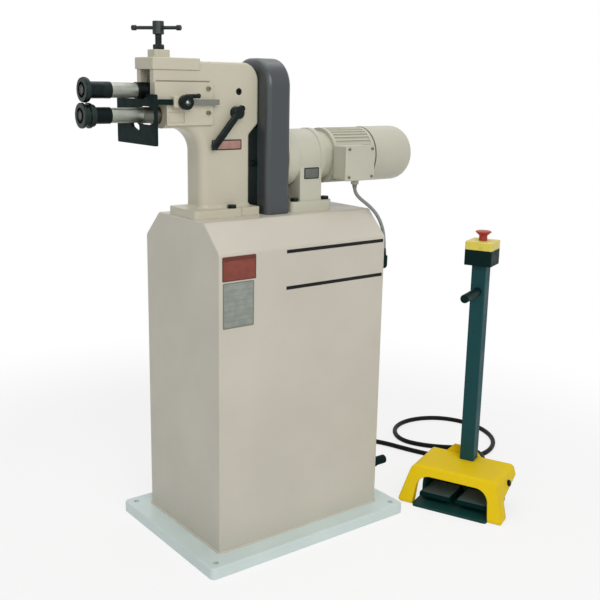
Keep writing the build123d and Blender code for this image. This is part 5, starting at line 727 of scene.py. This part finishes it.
class BEADROLLER_OT_knurl_ring(FinishOperator):
    """Knurl the lock ring of the adjusting screw"""

    bl_idname = "bead_roller.knurl_ring"
    bl_label = "Knurl the lock ring"

    RIDGES = 36
    RIDGE = 0.0005
    INSET = 0.0014
    SLOPE = 0.0005

    def build(self):
        """A thin sleeve round the ring whose outer radius rises and falls once per ridge."""
        radius = (RING_HIGH.x - RING_LOW.x) / 2
        low, high = RING_LOW.z + self.INSET, RING_HIGH.z - self.INSET
        swing = np.linspace(0, tau, self.RIDGES * 6, endpoint=False)
        crest = radius + self.RIDGE * (0.5 - 0.5 * np.cos(self.RIDGES * swing))
        inner = np.full_like(crest, radius - self.SLOPE)
        out = np.stack([inner, crest, crest, inner], axis=-1)
        rise = np.broadcast_to([low, low + self.SLOPE, high - self.SLOPE, high], out.shape)
        rings = round_screw(out, swing, rise)
        make_piece("ring_knurl", [torus_surface(rings)], bpy.data.materials["black_oxide"])


class BEADROLLER_OT_cut_thread(FinishOperator):
    """Wind the thread of the adjusting screw"""

    bl_idname = "bead_roller.cut_thread"
    bl_label = "Wind the screw thread"

    PITCH = 0.002
    CORE = 0.0069
    DEPTH = 0.0008
    STEPS = 40
    LOW_GAP, HIGH_GAP = 0.0012, 0.0065
    # Radial and axial places of the tooth's four points, in depths and pitches
    TOOTH_OUT = (0.0, 1.0, 1.0, 0.0)
    TOOTH_UP = (-0.44, -0.09, 0.09, 0.44)
    LEAST_DEPTH = 0.05

    def build(self):
        """A four-point tooth section carried up a helix, which fades into the core at both ends."""
        low = RING_HIGH.z + self.LOW_GAP
        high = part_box("tommy_bar")[0].z - self.HIGH_GAP
        turns = (high - low) / self.PITCH
        swing = np.linspace(0, turns * tau, int(turns * self.STEPS))
        fade = np.clip(np.minimum(swing, swing[-1] - swing) / (pi / 2), self.LEAST_DEPTH, 1)
        out = self.CORE + np.array(self.TOOTH_OUT) * self.DEPTH * fade[:, None]
        rise = low + (swing[:, None] / tau + np.array(self.TOOTH_UP)) * self.PITCH
        rings = round_screw(out, swing, rise)
        make_piece("screw_thread", [ring_surface(rings)], bpy.data.materials["black_oxide"], "screw")


class BEADROLLER_OT_seat_stud(FinishOperator):
    """Show the bright end of the stud in the hub of the clamp lever"""

    bl_idname = "bead_roller.seat_stud"
    bl_label = "Seat the clamp stud"

    RADIUS = 0.0052
    RISE = 0.0036
    SINK = 0.0026

    def build(self):
        """A half ellipse turned about the clamp's axis, seated in the hub's recess and standing just proud of it."""
        seat = (CLAMP_SPOT[0], CLAMP_FACE_Y + self.SINK, CLAMP_SPOT[2])
        stud = dome(seat, (0, -1, 0), self.RADIUS, self.RISE)
        make_piece("clamp_stud_end", [stud], bpy.data.materials["ground_steel"], "clamp")


class BEADROLLER_OT_paint_shadow_line(FinishOperator):
    """Paint a dark strip along the top of the side plate: a painted shadow line under its edge"""

    bl_idname = "bead_roller.run_seam"
    bl_label = "Run the plate's seam"

    HEIGHT = 0.0030
    THICKNESS = 0.0008
    CORNER = 0.0006
    END = 0.006

    def build(self):
        """A flat strip on the casting's side, as long as the straight top of the plate, in a darkened enamel that is
        a painted shadow line.
        """
        material = enamel("seam_enamel", shade(settings().paint.casting, 0.5), 0.0, gloss=DARK_GLOSS)
        centre = ((PLATE_LOW.x + PLATE_HIGH.x) / 2, HEAD_SIDE_Y, PLATE_HIGH.z + self.HEIGHT / 2)
        length = PLATE_HIGH.x - PLATE_LOW.x - 2 * self.END
        strip = flat_plate(centre, length, self.HEIGHT, self.CORNER, self.THICKNESS, self.THICKNESS / 3)
        make_piece("plate_seam", [strip], material)


class BEADROLLER_OT_paint_drive(FinishOperator):
    """Paint the chain guard, the gearbox and the motor"""

    bl_idname = "bead_roller.paint_drive"
    bl_label = "Paint the drive"

    def build(self):
        paint = settings().paint
        dress(enamel("guard_enamel", paint.slate, paint.wear, 0.002, 0.6), "chain_guard")
        # The guard's back plate takes black enamel: a dark sheet that is painted shade for the inside of the guard's
        # open side
        dress(enamel("back_plate_enamel", paint.black, paint.wear, gloss=DARK_GLOSS), "guard_back_plate")
        dress(
            enamel("drive_enamel", paint.drive, paint.wear, 0.0014, cast=True),
            "gearbox_housing", "motor_housing", "fan_cowl", "terminal_box", "terminal_lid",
        )


class BEADROLLER_OT_paint_pedal(FinishOperator):
    """Paint the pedal station and give its button and box their plastics"""

    bl_idname = "bead_roller.paint_pedal"
    bl_label = "Paint the pedal station"

    def build(self):
        paint = settings().paint
        dress(enamel("hood_enamel", paint.hood, paint.wear, 0.004, DARK_GLOSS, cast=True), "pedal_hood")
        dress(enamel("post_enamel", paint.teal, paint.wear, gloss=DARK_GLOSS), "post_tube")
        dress(enamel("pedal_base_enamel", paint.pedal, paint.wear, gloss=DARK_GLOSS), "pedal_base")
        dress(
            moulded_plastic("box_plastic", paint.black, 0.4, DARK_GLOSS / 2),
            "stop_box", "post_grip", "pedal_switches",
        )
        dress(moulded_plastic("lid_plastic", paint.lid, 0.3, 0.3), "stop_lid")
        dress(moulded_plastic("button_plastic", paint.red, 0.3, 0.3), "stop_plunger")
        dress(rubber("tread_rubber", shade(paint.pedal, 0.45)), "left_treadle", "right_treadle")


class BEADROLLER_OT_shape_button(FinishOperator):
    """Shape the mushroom head of the stop button"""

    bl_idname = "bead_roller.shape_button"
    bl_label = "Shape the stop button"

    # Height and radius as shares of the cap's own: a cone that opens upwards, a round rim and a flat dome
    PROFILE = (
        (0.00, 0.62), (0.18, 0.70), (0.44, 0.87), (0.56, 0.965), (0.66, 1.00), (0.76, 0.985),
        (0.86, 0.92), (0.93, 0.80), (0.975, 0.58), (0.995, 0.30), (1.00, 0.02),
    )

    def build(self):
        height, radius = CAP_HIGH.z - CAP_LOW.z, (CAP_HIGH.x - CAP_LOW.x) / 2
        profile = np.array(self.PROFILE) * (height, radius)
        rings = lathe(profile, (CAP_SPOT.x, CAP_SPOT.y, CAP_LOW.z), (0, 0, 1), 48)
        make_piece(
            "stop_button_head", [ring_surface(rings)], bpy.data.materials["button_plastic"],
            "stop_button", ("stop_cap",),
        )


class BEADROLLER_OT_add_plates(FinishOperator):
    """Rivet the blank plates to the cabinet, the column and the gearbox"""

    bl_idname = "bead_roller.add_plates"
    bl_label = "Add the blank plates"

    RED_CENTRE = (-0.196, 0.7255)
    GREY_CENTRE = (-0.198, 0.6400)
    COLUMN_CENTRE = (-0.145, 0.992)
    COLUMN_SIZE = (0.083, 0.024)
    GEARBOX_CENTRE = (0.088, 0.918)
    GEARBOX_SIZE = (0.046, 0.028)
    CORNER = 0.003
    EDGE = 0.0004
    RIVET_RADIUS = 0.0016
    RIVET_RISE = 0.00096
    RIVET_INSET = 0.0045

    def plate(self, name, centre, size, face, colours, **marks):
        """One plate with a rivet in each corner."""
        thickness = settings().trim.thickness
        surfaces = [flat_plate((centre[0], face, centre[1]), *size, self.CORNER, thickness, self.EDGE)]
        for side in (-1, 1):
            for end in (-1, 1):
                x = centre[0] + side * (size[0] / 2 - self.RIVET_INSET)
                z = centre[1] + end * (size[1] / 2 - self.RIVET_INSET)
                spot = (x, face - thickness, z)
                surfaces.append(dome(spot, (0, -1, 0), self.RIVET_RADIUS, self.RIVET_RISE))
        material = printed_plate(name + "_print", centre, size, *colours, **marks)
        make_piece(name, surfaces, material)

    def build(self):
        trim = settings().trim
        red, grey, ink, pink = trim.red, trim.grey, trim.ink, trim.pink
        red_size, grey_size = (trim.red_width, trim.red_height), (trim.grey_width, trim.grey_height)
        self.plate("red_plate", self.RED_CENTRE, red_size, FRONT_WALL_Y, (red, shade(red, 0.55)), header=0.010)
        self.plate("data_plate", self.GREY_CENTRE, grey_size, FRONT_WALL_Y, (grey, shade(grey, 0.62)), rows=9)
        self.plate("column_plate", self.COLUMN_CENTRE, self.COLUMN_SIZE, HEAD_SIDE_Y, (pink, ink))
        self.plate("gearbox_plate", self.GEARBOX_CENTRE, self.GEARBOX_SIZE, GEARBOX_SIDE_Y, (shade(grey, 0.5), ink))


class BEADROLLER_OT_add_stripes(FinishOperator):
    """Lay the two dark stripes on the front of the cabinet"""

    bl_idname = "bead_roller.add_stripes"
    bl_label = "Add the stripes"

    CENTRE_X = 0.0905
    HEIGHTS = (0.750, 0.662)
    FILM = 0.0003
    CORNER = 0.0008

    def build(self):
        trim = settings().trim
        material = enamel("stripe_film", trim.ink, 0.0, gloss=DARK_GLOSS)
        for name, z in zip(("upper_stripe", "lower_stripe"), self.HEIGHTS):
            place = (self.CENTRE_X, FRONT_WALL_Y, z)
            surface = flat_plate(place, trim.stripe_length, trim.stripe_height, self.CORNER, self.FILM, self.FILM / 2)
            make_piece(name, [surface], material)


class BEADROLLER_OT_add_treads(FinishOperator):
    """Lay a ribbed rubber mat on each treadle"""

    bl_idname = "bead_roller.add_treads"
    bl_label = "Add the tread mats"

    INNER = 0.012
    WIDTH = 0.080
    START = -0.016
    LENGTH = 0.096
    RIBS = 12
    MAT = 0.0010
    RIB = 0.0016
    SLOPE = 0.006 / 0.118
    TOP = 0.0071
    SIDE = 0.0012
    BREAK = 0.0004
    # Gain and drop of the wave, which clip it to flat-topped ribs
    GAIN, DROP = 1.6, 0.2

    def build(self):
        """A strip along the treadle whose top rises by a clipped sine squared, once per rib."""
        across = np.array([0, 0, self.SIDE, 1 - self.SIDE, 1, 1])
        steps = np.linspace(0, 1, self.RIBS * 8 + 1)
        wave = np.clip(self.GAIN * np.sin(steps * self.RIBS * pi) ** 2 - self.DROP, 0, 1)
        turn = np.array(Matrix.Rotation(PEDAL_TURN, 3, "Z"))
        for side, node in ((-1, "left"), (1, "right")):
            along = self.START - steps * self.LENGTH
            base = self.TOP - along * self.SLOPE
            top = base + self.MAT + self.RIB * wave
            x = side * (self.INNER + across * self.WIDTH)
            edge = top - self.BREAK
            height = np.stack([base, edge, top, top, edge, base], axis=-1)
            grid = np.stack(
                [np.broadcast_to(x, height.shape), np.broadcast_to(along[:, None], height.shape), height], axis=-1
            )
            make_piece(
                node + "_tread_mat", [ring_surface(grid @ turn.T + PEDAL_SPOT)],
                bpy.data.materials["tread_rubber"], node + "_pedal",
            )


class BEADROLLER_OT_lay_leads(FinishOperator):
    """Lay the motor lead and the pedal lead with the boots at their glands"""

    bl_idname = "bead_roller.lay_leads"
    bl_label = "Lay the leads"

    BOOT_RINGS = 4
    GROOVE = 0.0007
    BOOT_WIDE, BOOT_TAPER = 1.55, 0.4

    def lead(self, name, route, diameter, material, slot):
        """One smooth curve with the route's points as its control points, as thick as the lead."""
        curve = bpy.data.curves.new(name, "CURVE")
        curve.dimensions = "3D"
        curve.resolution_u = 10
        curve.bevel_depth = diameter / 2
        curve.bevel_resolution = 5
        spline = curve.splines.new("NURBS")
        spline.points.add(len(route) - 1)
        spline.points.foreach_set("co", np.array([(*point, 1) for point in route]).ravel())
        spline.order_u = 3
        spline.use_endpoint_u = True
        curve.materials.append(material)
        return ride_piece(name, curve)

    def boot(self, name, route, diameter, length, material, slot):
        """Tapered boot round the first stretch of a lead: rings that narrow in steps along its exit."""
        start, toward = np.array(route[0]), np.array(route[1]) - np.array(route[0])
        steps = np.linspace(0, 1, self.BOOT_RINGS * 8 + 1)
        groove = self.GROOVE * (np.cos(steps * self.BOOT_RINGS * tau) > 0)
        outer = diameter / 2 * (self.BOOT_WIDE - self.BOOT_TAPER * steps) - groove
        profile = np.stack([steps * length, outer], axis=-1)
        make_piece(name, [ring_surface(lathe(profile, start, toward, 28))], material)

    def build(self):
        lead = settings().lead
        grey = sheath("motor_lead_sheath", lead.motor_colour, PALE_GLOSS)
        black = sheath("pedal_lead_sheath", lead.pedal_colour, DARK_GLOSS)
        motor = self.lead("motor_lead", MOTOR_LEAD_ROUTE, lead.motor_diameter, grey, "grey_cable")
        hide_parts("motor_cable")
        pedal = self.lead("pedal_lead", PEDAL_LEAD_ROUTE, lead.pedal_diameter, black, "black_cable")
        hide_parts("pedal_cable")
        plastic = bpy.data.materials["fitting_plastic"]
        pedal_boot = (lead.pedal_diameter, lead.pedal_boot, plastic, "black_plastic")
        self.boot("cabinet_lead_boot", PEDAL_LEAD_ROUTE, *pedal_boot)
        self.boot("pedal_lead_boot", PEDAL_LEAD_ROUTE[::-1], *pedal_boot)
        self.boot("motor_lead_boot", MOTOR_LEAD_ROUTE, lead.motor_diameter, lead.motor_boot, grey, "grey_cable")
        inlet_boot = (lead.motor_diameter, 2 * lead.motor_boot, plastic, "black_plastic")
        self.boot("inlet_lead_boot", MOTOR_LEAD_ROUTE[::-1], *inlet_boot)


class BEADROLLER_OT_set_stage(FinishOperator):
    """Set the floor, the lamps and the camera"""

    bl_idname = "bead_roller.set_stage"
    bl_label = "Set the stage"

    FLOOR_SIZE = 30.0
    FLOOR_COLOUR = (0.9, 0.9, 0.9, 1)
    NEAR_WHITE = 0.76
    FADE_START, FADE_END = 0.9, 1.9
    # Power, place, target, size and colour of each lamp
    LAMPS = {
        "key_lamp": ("key", (-0.8, -3.1, 2.6), (0.15, 0.0, 0.55), 2.2, (1.0, 0.985, 0.96)),
        "fill_lamp": ("fill", (-2.3, -1.5, 1.7), (-0.2, 0.0, 0.85), 1.6, (0.95, 0.985, 1.0)),
        "top_lamp": ("top", (0.3, 0.4, 3.4), (0.15, 0.0, 0.55), 2.6, (1.0, 1.0, 1.0)),
    }

    def white_ray(self, tree):
        """1 for rays that see the backdrop: straight, mirrored or through glass."""
        rays = add_node(tree, "ShaderNodeLightPath").outputs
        seen = rays["Is Camera Ray"]
        for ray in ("Is Glossy Ray", "Is Transmission Ray"):
            seen = add_node(tree, "ShaderNodeMath", {0: seen, 1: rays[ray]}, operation="MAXIMUM").outputs[0]
        return seen

    def white_share(self, tree):
        """How much of the floor is its own white: all of it far off, and less near the object, for its shadow."""
        spot = add_node(tree, "ShaderNodeTexCoord").outputs["Object"]
        distance = add_node(tree, "ShaderNodeVectorMath", {0: spot}, operation="LENGTH").outputs["Value"]
        ramp = {0: distance, 1: self.FADE_START, 2: self.FADE_END, 3: self.NEAR_WHITE, 4: 1.0}
        fade = add_node(tree, "ShaderNodeMapRange", ramp, interpolation_type="SMOOTHSTEP").outputs[0]
        share = {0: self.white_ray(tree), 1: fade}
        return add_node(tree, "ShaderNodeMath", share, operation="MULTIPLY").outputs[0]

    def floor(self):
        """Wide pale floor that keeps the shadow: part its own white, part lit."""
        half = self.FLOOR_SIZE / 2
        mesh = bpy.data.meshes.new("floor")
        corners = [(-half, -half, 0), (half, -half, 0), (half, half, 0), (-half, half, 0)]
        mesh.from_pydata(corners, [], [(0, 1, 2, 3)])
        material = bpy.data.materials.new("floor_white")
        material.use_nodes = True
        tree = material.node_tree
        tree.nodes.clear()
        lit = add_node(tree, "ShaderNodeBsdfDiffuse", {"Color": self.FLOOR_COLOUR}).outputs[0]
        white = add_node(tree, "ShaderNodeEmission", {"Strength": 1.0}).outputs[0]
        mix = add_node(tree, "ShaderNodeMixShader", {0: self.white_share(tree), 1: lit, 2: white})
        add_node(tree, "ShaderNodeOutputMaterial", {"Surface": mix.outputs[0]})
        mesh.materials.append(material)
        add_object("floor", mesh)

    def sky(self):
        """White all round to the eye, and a softer light on the object."""
        world = bpy.data.worlds.new("studio")
        world.use_nodes = True
        tree = world.node_tree
        background = tree.nodes["Background"]
        background.inputs["Color"].default_value = (1, 1, 1, 1)
        ramp = {0: self.white_ray(tree), 3: settings().stage.sky, 4: 1.0}
        strength = add_node(tree, "ShaderNodeMapRange", ramp).outputs[0]
        tree.links.new(strength, background.inputs["Strength"])
        bpy.context.scene.world = world

    def lamps(self):
        stage = settings().stage
        for name, (power, place, target, size, colour) in self.LAMPS.items():
            lamp = bpy.data.lights.new(name, "AREA")
            lamp.energy = getattr(stage, power)
            lamp.size = size
            lamp.color = colour
            shown = add_object(name, lamp)
            shown.location = place
            shown.rotation_euler = (Vector(target) - Vector(place)).to_track_quat("-Z", "Y").to_euler()

    def camera(self):
        """Camera at the yaw, pitch and roll of the view, looking along its own -Z."""
        stage = settings().stage
        back = Vector((sin(stage.yaw) * cos(stage.pitch), -cos(stage.yaw) * cos(stage.pitch), sin(stage.pitch)))
        level = Vector((cos(stage.yaw), sin(stage.yaw), 0))
        upright = back.cross(level)
        right = cos(stage.roll) * level + sin(stage.roll) * upright
        up = back.cross(right)
        data = bpy.data.cameras.new("photo_camera")
        data.lens = stage.lens
        data.sensor_width = 36.0
        data.clip_end = 100.0
        camera = add_object("photo_camera", data)
        turn = Matrix((right, up, back)).transposed().to_4x4()
        camera.matrix_world = Matrix.Translation(stage.camera) @ turn
        bpy.context.scene.camera = camera

    def build(self):
        self.floor()
        self.sky()
        self.lamps()
        self.camera()
        bpy.context.scene.view_settings.view_transform = "Standard"


OPERATORS = (
    BEADROLLER_OT_paint_stand,
    BEADROLLER_OT_weld_foot,
    BEADROLLER_OT_paint_head,
    BEADROLLER_OT_finish_rolls,
    BEADROLLER_OT_knurl_ring,
    BEADROLLER_OT_cut_thread,
    BEADROLLER_OT_seat_stud,
    BEADROLLER_OT_paint_shadow_line,
    BEADROLLER_OT_paint_drive,
    BEADROLLER_OT_paint_pedal,
    BEADROLLER_OT_shape_button,
    BEADROLLER_OT_add_plates,
    BEADROLLER_OT_add_stripes,
    BEADROLLER_OT_add_treads,
    BEADROLLER_OT_lay_leads,
    BEADROLLER_OT_set_stage,
)


class VIEW3D_PT_bead_roller(bpy.types.Panel):
    """Lists the steps that dress the bead roller."""

    bl_label = "Bead roller"
    bl_space_type = "VIEW_3D"
    bl_region_type = "UI"
    bl_category = "Bead roller"

    def draw(self, context):
        for group in ("paint", "metal", "trim", "lead", "stage"):
            box = self.layout.box()
            values = getattr(context.scene.bead_roller, group)
            for name in values.__annotations__:
                box.prop(values, name)
        for operator in OPERATORS:
            self.layout.operator(operator.bl_idname)


CLASSES = (
    PaintSettings,
    MetalSettings,
    TrimSettings,
    LeadSettings,
    StageSettings,
    BeadRollerSettings,
    *OPERATORS,
    VIEW3D_PT_bead_roller,
)


def register():
    for cls in CLASSES:
        bpy.utils.register_class(cls)
    bpy.types.Scene.bead_roller = PointerProperty(type=BeadRollerSettings)


def unregister():
    del bpy.types.Scene.bead_roller
    for cls in reversed(CLASSES):
        bpy.utils.unregister_class(cls)


def main():
    register()
    for operator in OPERATORS:
        group, name = operator.bl_idname.split(".")
        getattr(getattr(bpy.ops, group), name)()


if __name__ == "__main__":
    main()
